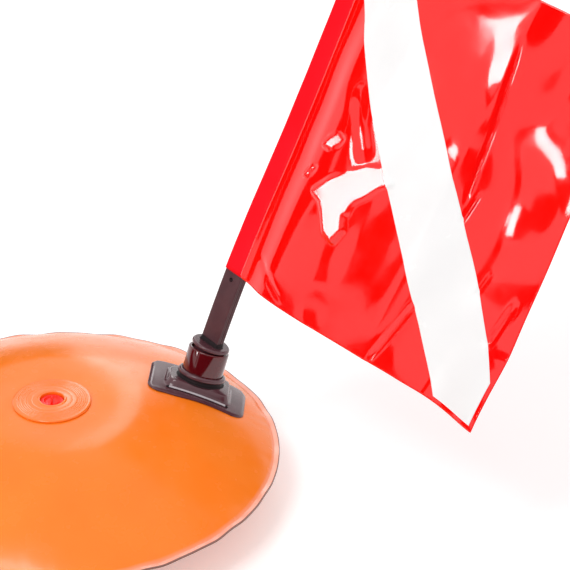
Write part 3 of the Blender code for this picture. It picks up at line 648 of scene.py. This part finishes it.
def make_plate():
    """The soft plate, which follows the skin and waves a little along its front edge."""
    u, v = np.meshgrid(close_lines(0.8, 0.996, 72, 8), close_lines(0.66, 0.994, 44, 9), indexing="ij")
    x, y = rounded_square(u, v, PLATE_LENGTH / 2, PLATE_DEPTH / 2, PLATE_CORNER * 1.35)
    y = y + 0.0016 * smoothstep((-y - 0.018) / 0.015) * smoothstep((x + 0.02) / 0.03)
    foot = seat_heights(SOCKET, x, y, 1) + GAP
    edge = np.maximum(np.abs(u), np.abs(v))
    lift = 0.0006 * smoothstep((-y - 0.025) / 0.008) * (0.5 + 0.5 * np.sin(x * 105 + 0.6))
    thin = 0.0008 + 0.0010 * smoothstep((edge - 0.935) / 0.065) ** 2
    bead = 0.00015 * np.exp(-((edge - 0.93) / 0.012) ** 2)
    top = foot + PLATE_THICKNESS + lift - thin + bead
    points = np.stack([[x, y, top], [x, y, foot + lift * 0.8]]).transpose(0, 2, 3, 1).reshape(-1, 3)
    size = x.size
    faces = grid_faces(*x.shape)
    faces += [tuple(size + i for i in face[::-1]) for face in faces]
    index = np.arange(size).reshape(x.shape)
    ring = [*index[0], *index[1:, -1], *index[-1, -2::-1], *index[-2:0:-1, 0]]
    faces += [(a, b, size + b, size + a) for a, b in zip(ring, ring[1:] + ring[:1])]
    add_piece(
        "holder_plate_sheet", points, faces, MOULDING, "float", "holder_plate", SOCKET, 60)


def make_block():
    """The raised block: its sides flare into the plate, and its top falls away with the skin."""
    c, s = np.array(circle(BLOCK_STEPS)).T
    reach = (np.abs(c) ** 7 + np.abs(s) ** 7) ** (-1 / 7)
    wide = np.stack([c * reach * BLOCK_LENGTH / 2, s * reach * BLOCK_DEPTH / 2])
    near = np.stack([c, s]) * (COLLAR_RADIUS - COLLAR_UNDERCUT)
    sides = ((0, 1.14, 1.05), (0.03, 1.10, 1.035), (0.08, 1.06, 1.02), (0.2, 1.02, 0.995),
             (0.5, 0.985, 0.975), (0.85, 0.95, 0.95), (0.96, 0.935, 0.935), (1, BLOCK_CREST, BLOCK_CREST))

    def fall(seat):
        return BLOCK_FALL * np.minimum(0, seat + 0.0008)

    rows = []
    for share, grow_x, grow_y in sides:
        x, y = wide[0] * grow_x, wide[1] * grow_y
        seat = seat_heights(SOCKET, x, y, 1)
        base = seat + GAP + PLATE_THICKNESS * 0.55
        rows.append((x, y, base + (BLOCK_TOP + fall(seat) - base) * share))
    for share in (0.25, 0.5, 0.75, 0.92, 1):
        x, y = wide * BLOCK_CREST * (1 - share) + near * share
        rows.append((x, y, BLOCK_TOP + fall(seat_heights(SOCKET, x, y, 1)) * (1 - smoothstep(share))))
    rows.append((*near, np.full(BLOCK_STEPS, TUBE_SEAT - 0.001)))
    points = np.stack(rows).transpose(0, 2, 1).reshape(-1, 3)
    faces = grid_faces(len(rows), BLOCK_STEPS, True)
    faces.append(tuple(range(len(points) - BLOCK_STEPS, len(points))))
    add_piece("holder_block", points, faces, MOULDING, "float", None, SOCKET, 50)


def shade_faces(piece, is_dark):
    """Gives the painted shade to the faces that is_dark picks by place and direction in the socket's frame.
    """
    piece.data.materials.append(SHADE)
    into_socket = SOCKET.inverted()
    for face in piece.data.polygons:
        if is_dark(into_socket @ face.center, into_socket.to_3x3() @ face.normal):
            face.material_index = 1


def make_foot_bar():
    """A bar along the block's front foot: its pale crest is a painted highlight, and it gets painted shade
    underneath and at its ends.
    """
    start, end = FOOT_BAR_SPAN
    aside = -BLOCK_DEPTH / 2 - 0.0018
    along = np.linspace(start, end, 44)
    base = seat_heights(SOCKET, along, np.full_like(along, aside), 1) + GAP + PLATE_THICKNESS - 0.0008
    points = []
    for x, z in zip(along, base):
        radius = FOOT_BAR_RADIUS * min(1, (x - start) / 0.002 + 0.25, (end - x) / 0.002 + 0.25)
        points += [(x, aside + radius * c, z + 0.0006 + radius * s) for c, s in circle(BAR_STEPS)]
    faces = closed_faces(len(along), BAR_STEPS)
    bar = add_piece("holder_foot_bar", points, faces, PAINTED_HIGHLIGHT, "float", matrix=SOCKET)
    low, high = start + FOOT_BAR_END, end - FOOT_BAR_END
    # Painted shade on the bar's underside and at its ends.
    shade_faces(bar, lambda place, outward: outward.z < 0.2 or not low < place.x < high)


def make_collar():
    """The collar round the tube, over an undercut neck that gets painted shade down over its fillet."""
    bore = TUBE_RADIUS + GAP
    neck = COLLAR_RADIUS - COLLAR_UNDERCUT
    neck_top = BLOCK_TOP + COLLAR_NECK
    foot = COLLAR_RADIUS + 0.0004
    wide = COLLAR_RADIUS
    profile = [(bore, TUBE_SEAT, 0), (bore, COLLAR_TOP, 0.0004), (wide - COLLAR_EDGE, COLLAR_TOP, 0.0006)]
    profile += [(wide, COLLAR_TOP - COLLAR_EDGE, 0.0007), (wide, neck_top + 0.0006, 0.0006)]
    profile += [(wide - 0.0007, neck_top, 0.0004), (neck, neck_top - 0.0001, 0.0004)]
    profile += [(neck, BLOCK_TOP + 0.0009, 0.0009), (foot, BLOCK_TOP + 0.0001, 0.0004)]
    profile += [(foot, BLOCK_TOP - 0.0006, 0), (bore, TUBE_SEAT, 0)]
    collar = turned("holder_collar", profile, MOULDING, "float", matrix=SOCKET)
    # Painted shade on the neck and on the fillet below the collar.
    low, high = BLOCK_TOP - 0.0008, neck_top + 0.0002
    shade_faces(collar, lambda place, outward: place.xy.length > bore + GAP and low < place.z < high)


def make_tube():
    inner = TUBE_RADIUS - TUBE_WALL
    floor = TUBE_SEAT + 0.002
    profile = [(0, floor, 0), (inner, floor, 0.001), (inner, TUBE_TOP, 0.0008)]
    profile += [(TUBE_RADIUS, TUBE_TOP, 0.0012), (TUBE_RADIUS, TUBE_SEAT, 0.0004), (0, TUBE_SEAT, 0)]
    turned("socket_tube_gloss", profile, GLOSS, "float", "socket_tube", SOCKET)


# Staff
def box_outline(width, depth, corner, steps=4):
    points = []
    for quarter, (side_x, side_y) in enumerate(((1, 1), (-1, 1), (-1, -1), (1, -1))):
        for step in range(steps + 1):
            angle = (quarter + step / steps) * math.pi / 2
            points.append((side_x * (width / 2 - corner) + corner * math.cos(angle),
                           side_y * (depth / 2 - corner) + corner * math.sin(angle)))
    return points


def staff_outline():
    """The profile with bead lines along each narrow side."""
    half_w, half_d = STAFF_WIDTH / 2, STAFF_DEPTH / 2
    groove, corner = 0.0004, 0.0007
    beads = ((0.0, 0.00005), (0.08, groove), (0.16, 0), (0.46, 0), (0.54, groove), (0.62, 0))
    quarter = [(half_w - dent, share * half_d) for share, dent in beads]
    for turn in np.linspace(0, math.pi / 2, 4):
        c, s = math.cos(turn) - 1, math.sin(turn) - 1
        quarter.append((half_w + corner * c, half_d + corner * s))
    upper = quarter + [(-x, y) for x, y in reversed(quarter)]
    return upper + [(x, -y) for x, y in reversed(upper[1:-1])]


def staff_sag(height):
    """How far the staff bows from its straight axis, at heights above the tube's mouth."""
    height = np.asarray(height, float)
    low = -STAFF_BOW * np.sin(math.pi * np.clip(height / STAFF_BOW_END, 0, 1))
    high = STAFF_BOW * (1 - np.exp(-np.maximum(height - STAFF_BOW_END, 0) * math.pi / STAFF_BOW_END))
    return low + high


def prism(name, outline, levels, material, node=None):
    """A closed solid on the staff through copies of an outline at (height, scale) levels."""
    points = []
    for height, scale in levels:
        sag = staff_sag(height)
        points += [(x * scale, y * scale + sag, height) for x, y in outline]
    faces = closed_faces(len(levels), len(outline))
    return add_piece(name, points, faces, material, "flagstaff", node, STAFF, 30)


def drill_staff(staff):
    """Cuts the small cross hole below the sleeve."""
    spot = Matrix.Translation((0, 0, SLEEVE_FOOT - STAFF_HOLE_DROP)) @ Matrix.Rotation(math.pi / 2, 4, "X")
    mesh = bpy.data.meshes.new("staff_hole")
    shape = bmesh.new()
    bmesh.ops.create_cone(
        shape, cap_ends=True, segments=40, radius1=STAFF_HOLE_RADIUS, radius2=STAFF_HOLE_RADIUS,
        depth=STAFF_DEPTH * 2, matrix=STAFF @ spot)
    shape.to_mesh(mesh)
    shape.free()
    hole = new_object("staff_hole", mesh)
    cut = staff.modifiers.new("hole", "BOOLEAN")
    cut.operation = "DIFFERENCE"
    cut.object = hole
    cut.solver = "EXACT"
    graph = bpy.context.evaluated_depsgraph_get()
    drilled = bpy.data.meshes.new_from_object(staff.evaluated_get(graph))
    staff.modifiers.clear()
    staff.data = drilled
    bpy.data.objects.remove(hole, do_unlink=True)


def make_staff_plug():
    """The cap on the tube's mouth, the shank with the ring's groove, and the hub round the profile, in
    painted-shade black that stands in for the pole's dark reflection in the cap.
    """
    shank = TUBE_RADIUS - TUBE_WALL - SHANK_LENGTH * ROCK - SHANK_SLACK
    ring_top = GAP - GRIP_RING_DROP
    ring_foot = -GRIP_RING_DROP - GRIP_RING_HEIGHT - GAP
    groove = shank - GRIP_RING_DEPTH
    wide = CAP_RADIUS
    profile = [(0, CAP_TOP, 0), (wide - 0.0012, CAP_TOP, 0.0006), (wide, CAP_TOP - 0.0010, 0.0009)]
    profile += [(wide, CAP_FOOT + 0.0006, 0.0006), (wide - 0.0008, CAP_FOOT, 0.0005)]
    profile += [(shank + 0.0004, CAP_FOOT, 0.0005), (shank, CAP_FOOT - 0.0008, 0.0005)]
    profile += [(shank, ring_top, 0.0002), (groove, ring_top, 0.0002), (groove, ring_foot, 0.0002)]
    profile += [(shank, ring_foot, 0.0002), (shank, -SHANK_LENGTH, 0.0012), (0, -SHANK_LENGTH, 0)]
    turned("staff_plug_cap", profile, MOULDING, "flagstaff", "staff_plug", STAFF)
    outline = box_outline(STAFF_WIDTH + 0.0020, STAFF_DEPTH + 0.0020, 0.0030)
    top = CAP_TOP + HUB_HEIGHT
    levels = [(CAP_TOP - 0.001, 1.10), (CAP_TOP + 0.0002, 1.07), (CAP_TOP + 0.0010, 1.01)]
    levels += [(top - 0.0008, 0.99), (top, 0.94)]
    # The hub's black is painted shade, standing in for the pole's dark reflection at its foot.
    prism("staff_plug_hub", outline, levels, SHADE)


def make_staff():
    """The drilled profile and the plug in its top end."""
    top = SLEEVE_FOOT + FLAG_HOIST + 0.002
    foot = -SHANK_LENGTH + 0.0023
    levels = [(height, 1) for height in np.linspace(foot, top - 0.0004, 56)] + [(top, 0.96)]
    drill_staff(prism("staff_profile", staff_outline(), levels, STAFF_DARK, "staff"))
    outline = box_outline(STAFF_WIDTH, STAFF_DEPTH, 0.0012)
    foot = top + GAP
    levels = [(foot, 0.97), (foot + 0.0003, 1), (foot + 0.0013, 1), (foot + 0.0018, 0.94)]
    prism("staff_end_plug", outline, levels, MOULDING, "staff_top_plug")


# Flag
HALF_WIDTH = STAFF_WIDTH / 2 + GAP + SLEEVE_WALL
HALF_DEPTH = STAFF_DEPTH / 2 + GAP + SLEEVE_WALL
TAIL_END = HALF_WIDTH + SLEEVE_TAIL
PANEL_START = HALF_WIDTH - PANEL_LAP
PANEL_LENGTH = FLAG_FLY - HALF_WIDTH - PANEL_START
PANEL_PLANE = -(HALF_DEPTH + GAP + PANEL_THICKNESS / 2)


def flag_shift(across, up):
    """The large folds, as in the CAD source; across and up are shares of the panel."""
    zero = 0.54 + 0.10 * up
    along = across / zero
    skewed = along * (1 + 0.45 * (1 - along))
    front = -(0.0095 + 0.0035 * np.sin(math.pi * up)) * np.sin(math.pi * skewed) * smoothstep(across / 0.12)
    past = (across - zero) / 0.26
    trough = np.sin(math.pi / 2 * np.clip(past, 0, 1))
    end = smoothstep((across - zero - 0.26) / (1 - zero - 0.26))
    back = 0.0100 * trough * (1 - end) + 0.0100 * smoothstep(up / 0.22) * end
    return np.where(across < zero, front, back)


def crease(x, z, start, end, width, depth, fade=0.25):
    """A narrow fold along the line from start to end, which dies out towards its ends."""
    sx, sz = start
    dx, dz = end[0] - sx, end[1] - sz
    length = math.hypot(dx, dz)
    along = ((x - sx) * dx + (z - sz) * dz) / length**2
    aside = ((x - sx) * dz - (z - sz) * dx) / length
    ends = smoothstep(along / fade) * smoothstep((1 - along) / fade)
    return depth * np.exp(-(aside / width) ** 2) * ends


def flag_folds(x, z):
    """All folds and creases; x is the distance from the hoist edge, z from the foot."""
    relief = flag_shift(x / PANEL_LENGTH, z / FLAG_HOIST)
    calm = 1 - 0.6 * smoothstep((x - 0.085) / 0.02) * smoothstep((0.165 - x) / 0.02)
    calm -= 0.65 * (1 - smoothstep((x - 0.066) / 0.02)) * (1 - smoothstep((z - 0.10) / 0.03))
    relief += 0.0009 * calm * np.sin(x * 52 + z * 21 + 1.6 * np.sin(z * 23 + 0.8)) * smoothstep(x / 0.05)
    relief += 0.0003 * calm * np.sin(x * 95 - z * 64 + 2.1 * np.sin(x * 31 + z * 17)) * smoothstep(x / 0.04)
    for start, end, width, depth in FLAG_CREASES:
        relief += crease(x, z, start, end, width, depth)
    return relief


def mirror_slopes(x, z, lamp):
    """Slopes of the sheet's plane that mirrors the lamp to the camera at x, z."""
    point = STAFF @ Vector((PANEL_START + x, PANEL_PLANE, SLEEVE_FOOT + z))
    view = (scene.camera.matrix_world.translation - point).normalized()
    normal = STAFF.to_3x3().transposed() @ (view + (lamp - point).normalized()).normalized()
    return np.array([-normal.x / normal.y, -normal.z / normal.y])


def inside_share(x, z, corners, blur):
    """1 inside the outline, falling softly to 0 at the given distance outside it."""
    inside = np.zeros(x.shape, bool)
    nearest = np.full(x.shape, 1e3)
    for (ax, az), (bx, bz) in zip(corners, corners[1:] + corners[:1]):
        dx, dz = bx - ax, bz - az
        crosses = (az > z) != (bz > z)
        inside ^= crosses & (x < ax + (z - az) * dx / (dz or 1e-9))
        along = np.clip(((x - ax) * dx + (z - az) * dz) / (dx**2 + dz**2), 0, 1)
        nearest = np.minimum(nearest, np.hypot(x - ax - along * dx, z - az - along * dz))
    return smoothstep(np.where(inside, nearest, -nearest) / blur + 1)


def flag_facets(x, z):
    """The folds with facets pressed in that catch the window-like light, each level at its anchor."""
    lamp = Vector(GLARE_TARGET) + heading(GLARE_AZIMUTH, GLARE_ELEVATION) * GLARE_DISTANCE
    relief = flag_folds(x, z)
    reach = 0.02
    for corners, anchor, blur in FLAG_FACETS:
        cx, cz = np.mean(corners, axis=0)
        slope = mirror_slopes(cx, cz, lamp)
        turn_x = (mirror_slopes(cx + reach, cz, lamp) - mirror_slopes(cx - reach, cz, lamp)) / (2 * reach)
        turn_z = (mirror_slopes(cx, cz + reach, lamp) - mirror_slopes(cx, cz - reach, lamp)) / (2 * reach)

        def leaning(dx, dz):
            bend = turn_x[0] * dx**2 / 2 + turn_z[1] * dz**2 / 2 + (turn_x[1] + turn_z[0]) / 2 * dx * dz
            return slope[0] * dx + slope[1] * dz + bend

        ax, az = np.array(anchor).reshape(2, 1)
        level = flag_folds(ax, az) - leaning(ax - cx, az - cz)
        share = inside_share(x, z, corners, blur)
        relief = relief * (1 - share) + (level + leaning(x - cx, z - cz)) * share
    return relief


def flag_point(x, z, offset):
    """Hangs flat points; z starts at the sleeve's foot, so the foot edge's rise is taken out first."""
    facets = flag_facets(x, z - x / PANEL_LENGTH * FLAG_RISE)
    y = PANEL_PLANE + offset + facets + staff_sag(SLEEVE_FOOT + z) * (1 - smoothstep(x / 0.10))
    return np.stack([PANEL_START + x, y, SLEEVE_FOOT + z], -1)


def hung_piece(name, offset, cuts, thickness, material, node):
    """A flat grid, cut to shape, hung in the flag's folds and thickened."""
    mesh = bpy.data.meshes.new(name)
    shape = bmesh.new()
    bmesh.ops.create_grid(shape, x_segments=FLAG_COLUMNS, y_segments=FLAG_ROWS, size=1)
    for vertex in shape.verts:
        across, up = (vertex.co.x + 1) / 2, (vertex.co.y + 1) / 2
        vertex.co = (across * PANEL_LENGTH, up * FLAG_HOIST + across * FLAG_RISE, 0)
    for point, outside in cuts:
        everything = shape.verts[:] + shape.edges[:] + shape.faces[:]
        bmesh.ops.bisect_plane(
            shape, geom=everything, plane_co=(*point, 0), plane_no=(*outside, 0), clear_outer=True)
    shape.to_mesh(mesh)
    shape.free()
    flat = np.array([vertex.co for vertex in mesh.vertices], float)
    mesh.vertices.foreach_set("co", flag_point(flat[:, 0], flat[:, 1], offset).ravel())
    mesh.update()
    piece = place_mesh(name, mesh, material, "flagstaff", node, STAFF, 60)
    thicken(piece, thickness, 0)
    return piece


def corner_cuts(corner_x, corner_z, side_x, side_z, radius, steps):
    """Cuts that round a corner of the flat panel."""
    cuts = []
    for step in range(1, steps + 1):
        angle = math.pi / 2 * step / (steps + 1)
        nx, nz = side_x * math.cos(angle), side_z * math.sin(angle)
        cuts.append(((corner_x + (nx - side_x) * radius, corner_z + (nz - side_z) * radius), (nx, nz)))
    return cuts


def make_flag():
    """The red panel, and the white stripe on both of its faces."""
    rounded = corner_cuts(0, 0, -1, -1, 0.004, 5) + corner_cuts(PANEL_LENGTH, FLAG_RISE, 1, -1, 0.0008, 2)
    panel = hung_piece("flag_sheet", 0, rounded, PANEL_THICKNESS, RED, "flag_panel")
    offset = PANEL_THICKNESS / 2 + STRIPE_THICKNESS / 2 + 0.00005
    across = Vector((FLAG_HOIST - FLAG_RISE, PANEL_LENGTH))
    across.normalize()
    middle = Vector((PANEL_LENGTH, FLAG_RISE)) - across * STRIPE_DROP
    below = Vector((FLAG_RISE, -PANEL_LENGTH)).normalized()
    for name, side, start, node in (("stripe_film_front", -1, STRIPE_MARGIN, "stripe_front"),
                                    ("stripe_film_back", 1, TAIL_END + GAP - PANEL_START, "stripe_back")):
        cuts = [((start, 0), (-1, 0)), ((PANEL_LENGTH - STRIPE_MARGIN, 0), (1, 0))]
        cuts += [((0, STRIPE_MARGIN), below), ((0, FLAG_HOIST - STRIPE_MARGIN), -below)]
        for way in (-1, 1):
            cuts.append((middle + across * way * STRIPE_WIDTH / 2, across * way))
        stripe = hung_piece(name, side * offset, cuts, STRIPE_THICKNESS, WHITE, node)


def make_sleeve():
    """One sheet wrapped round the staff, whose end runs on behind the panel."""
    wall = SLEEVE_WALL / 2
    front = -HALF_DEPTH - 0.0001
    inner_front = -HALF_DEPTH + 3 * wall + 0.0001
    side, back = HALF_WIDTH - wall, HALF_DEPTH - wall
    loop = [(TAIL_END, -back, 0), (PANEL_START, -back, 0.002), (PANEL_START - 0.0030, front, 0.002)]
    loop += [(-side, front, 0.0016), (-side, back, 0.0016), (side, back, 0.0016)]
    loop += [(side, inner_front, 0.0006), (HALF_WIDTH - 0.004, inner_front, 0)]
    line = softened(loop, 5)
    heights = np.linspace(0, FLAG_HOIST, 90)
    points = []
    for height in heights:
        sag = staff_sag(SLEEVE_FOOT + height)
        for x, y in line:
            drift = 0.00018 * abs(math.sin(height * 60 + x * 210))
            points.append((x, y + sag - (drift if y < 0 else -drift / 2), SLEEVE_FOOT + height))
    faces = grid_faces(len(heights), len(line))
    sleeve = add_piece(
        "flag_sleeve_sheet", points, faces, SLEEVE_RED, "flagstaff", "flag_sleeve", STAFF, 50)
    thicken(sleeve, SLEEVE_WALL * 0.9, 0)


# Line ring
def make_patch():
    """The round patch, with a faint weld line and a thinner edge."""
    rings = 16
    top = GAP + PATCH_THICKNESS
    profile = [(0, top, 0)]
    for ring in range(1, rings + 1):
        share = ring / rings
        edge = smoothstep((share - 0.93) / 0.07) * PATCH_THICKNESS * 0.7
        weld = 0.00018 * math.exp(-((share - 0.86) * PATCH_RADIUS / 0.0008) ** 2)
        profile.append((PATCH_RADIUS * share, top - edge - weld, 0))
    profile.append((PATCH_RADIUS, GAP * 0.3, 0))
    turned(
        "line_patch_disc", profile, ORANGE, "float", "line_patch", RING_FRAME, 72, 50,
        seat=lambda x, y: seat_heights(RING_FRAME, np.array(x), np.array(y), -1))


STRAP_FOOT = GAP + PATCH_THICKNESS + GAP
BAR_HEIGHT = STRAP_FOOT + RING_WIRE / 2 + GAP


def make_strap():
    """The flat strap that arches over the ring's bar."""
    level = STRAP_FOOT + STRAP_THICKNESS / 2
    arch = RING_WIRE / 2 + GAP + STRAP_THICKNESS / 2
    path = [(STRAP_LENGTH / 2, level, 0), (arch, level, 0.0012)]
    for turn in np.linspace(0.15, math.pi - 0.15, 18):
        path.append((arch * math.cos(turn), BAR_HEIGHT + arch * math.sin(turn), 0))
    path += [(-arch, level, 0.0012), (-STRAP_LENGTH / 2, level, 0)]
    line = softened(path)
    across = np.linspace(-STRAP_WIDTH / 2, STRAP_WIDTH / 2, 14)
    points = [(x, y, z) for y in across for x, z in line]
    faces = grid_faces(len(across), len(line))
    strap = add_piece(
        "ring_strap_band", points, faces, ORANGE, "float", "ring_strap", RING_FRAME, 50)
    thicken(strap, STRAP_THICKNESS, 0)


def make_ring():
    """The bent wire: a bar, two round corners and a half-round bow that hangs to the rest plane."""
    bar = RING_FRAME @ Vector((0, 0, BAR_HEIGHT))
    reach = RING_REACH - RING_WIRE / 2
    half = (RING_LENGTH - RING_WIRE) / 2
    hang = math.asin((bar.z - RING_WIRE / 2 - GAP) / reach)
    corner = []
    for turn in np.arange(8) * math.pi / 16:
        corner.append((RING_CORNER * (1 - math.cos(turn)), half - RING_CORNER * (1 - math.sin(turn))))
    bow = []
    for turn in np.linspace(math.pi / 2, -math.pi / 2, 33):
        bow.append((RING_CORNER + (reach - RING_CORNER) * math.cos(turn), half * math.sin(turn)))
    centre = corner + bow + [(x, -y) for x, y in reversed(corner)]
    count = len(centre)
    points = []
    for index in (*range(count), 0):
        x, y = centre[index]
        ax, ay = centre[index - 1]
        bx, by = centre[(index + 1) % count]
        side = Vector((0, 0, 1))
        out = Vector((ax - bx, by - ay, 0)).normalized().cross(side)
        middle = Vector((-x, y, 0))
        points += [middle + (out * c + side * s) * RING_WIRE / 2 for c, s in circle(WIRE_STEPS)]
    faces = grid_faces(count + 1, WIRE_STEPS, True)
    matrix = Matrix.Translation(bar) @ Matrix.Rotation(-hang, 4, "Y")
    add_piece("line_ring_wire", points, faces, STEEL, "line_ring", "line_ring", matrix, 50)


# Stage and light
def stage_piece(name, points, faces, material):
    mesh = bpy.data.meshes.new(name)
    mesh.from_pydata([tuple(point) for point in points], [], faces)
    mesh.materials.append(material)
    piece = new_object(name, mesh)
    return piece


def make_floor():
    """A white floor that shows a little paler than it lights."""
    n = Nodes(bpy.data.materials.new("floor_white"))
    n.tree.nodes.remove(n.tree.nodes["Principled BSDF"])
    diffuse = n.add("ShaderNodeBsdfDiffuse", {"Color": (0.86, 0.86, 0.86, 1)})
    strength = n.add("ShaderNodeMath", {0: n.seen_directly(), 1: 0.3}, operation="MULTIPLY")
    glow = n.add("ShaderNodeEmission", {"Strength": strength.outputs[0]})
    both = n.add("ShaderNodeAddShader", {0: diffuse.outputs[0], 1: glow.outputs[0]})
    n.feed(n.tree.nodes["Material Output"], {"Surface": both.outputs[0]})
    corners = [(x * FLOOR_HALF, y * FLOOR_HALF, 0) for x, y in ((-1, -1), (1, -1), (1, 1), (-1, 1))]
    floor = stage_piece("floor", corners, [(0, 1, 2, 3)], n.owner)
    floor.location.z = -FLOOR_DROP


def make_world():
    """A white surround that lights a little less than it shows."""
    n = Nodes(bpy.data.worlds.new("studio"))
    strength = n.span(n.seen_directly(), 0.78, 1.0, 0, 1)
    n.feed(n.tree.nodes["Background"], {"Color": (1, 1, 1, 1), "Strength": strength})
    scene.world = n.owner


def backdrop_panel(name, start, end, low, high, distance):
    """A curved black panel that stands clear of the object, and that only reflections show."""
    points = []
    for azimuth in np.linspace(start, end, 13):
        for height in (low, high):
            points.append(heading(azimuth, 0) * distance + Vector((0, 0, height)))
    faces = [(i, i + 2, i + 3, i + 1) for i in range(0, len(points) - 2, 2)]
    n = Nodes(bpy.data.materials.new(name))
    n.feed(n.tree.nodes["Principled BSDF"], {"Base Color": (0.004, 0.004, 0.004, 1), "Roughness": 1})
    panel = stage_piece(name, points, faces, n.owner)
    panel.visible_camera = False
    panel.visible_diffuse = False
    panel.visible_shadow = False


def soft_box(name, azimuth, elevation, distance, width, height, radiance, target):
    data = bpy.data.lights.new(name, "AREA")
    data.shape = "RECTANGLE"
    data.size, data.size_y = width, height
    data.energy = radiance * math.pi * width * height
    lamp = new_object(name, data)
    away = heading(azimuth, elevation)
    turn = away.to_track_quat("Z", "Y").to_matrix().to_4x4()
    lamp.matrix_world = Matrix.Translation(Vector(target) + away * distance) @ turn
    lamp.visible_camera = False


make_float()
make_valve_disc()
make_valve_plug()
make_plate()
make_block()
make_foot_bar()
make_collar()
make_tube()
make_staff_plug()
make_staff()
make_flag()
make_sleeve()
make_patch()
make_strap()
make_ring()
for node in ("valve_flap", "grip_ring"):
    paint_cad_piece(node, RUBBER)
make_floor()
make_world()
for values in SOFT_BOXES:
    soft_box(*values)
for values in BACKDROP_PANELS:
    backdrop_panel(*values)
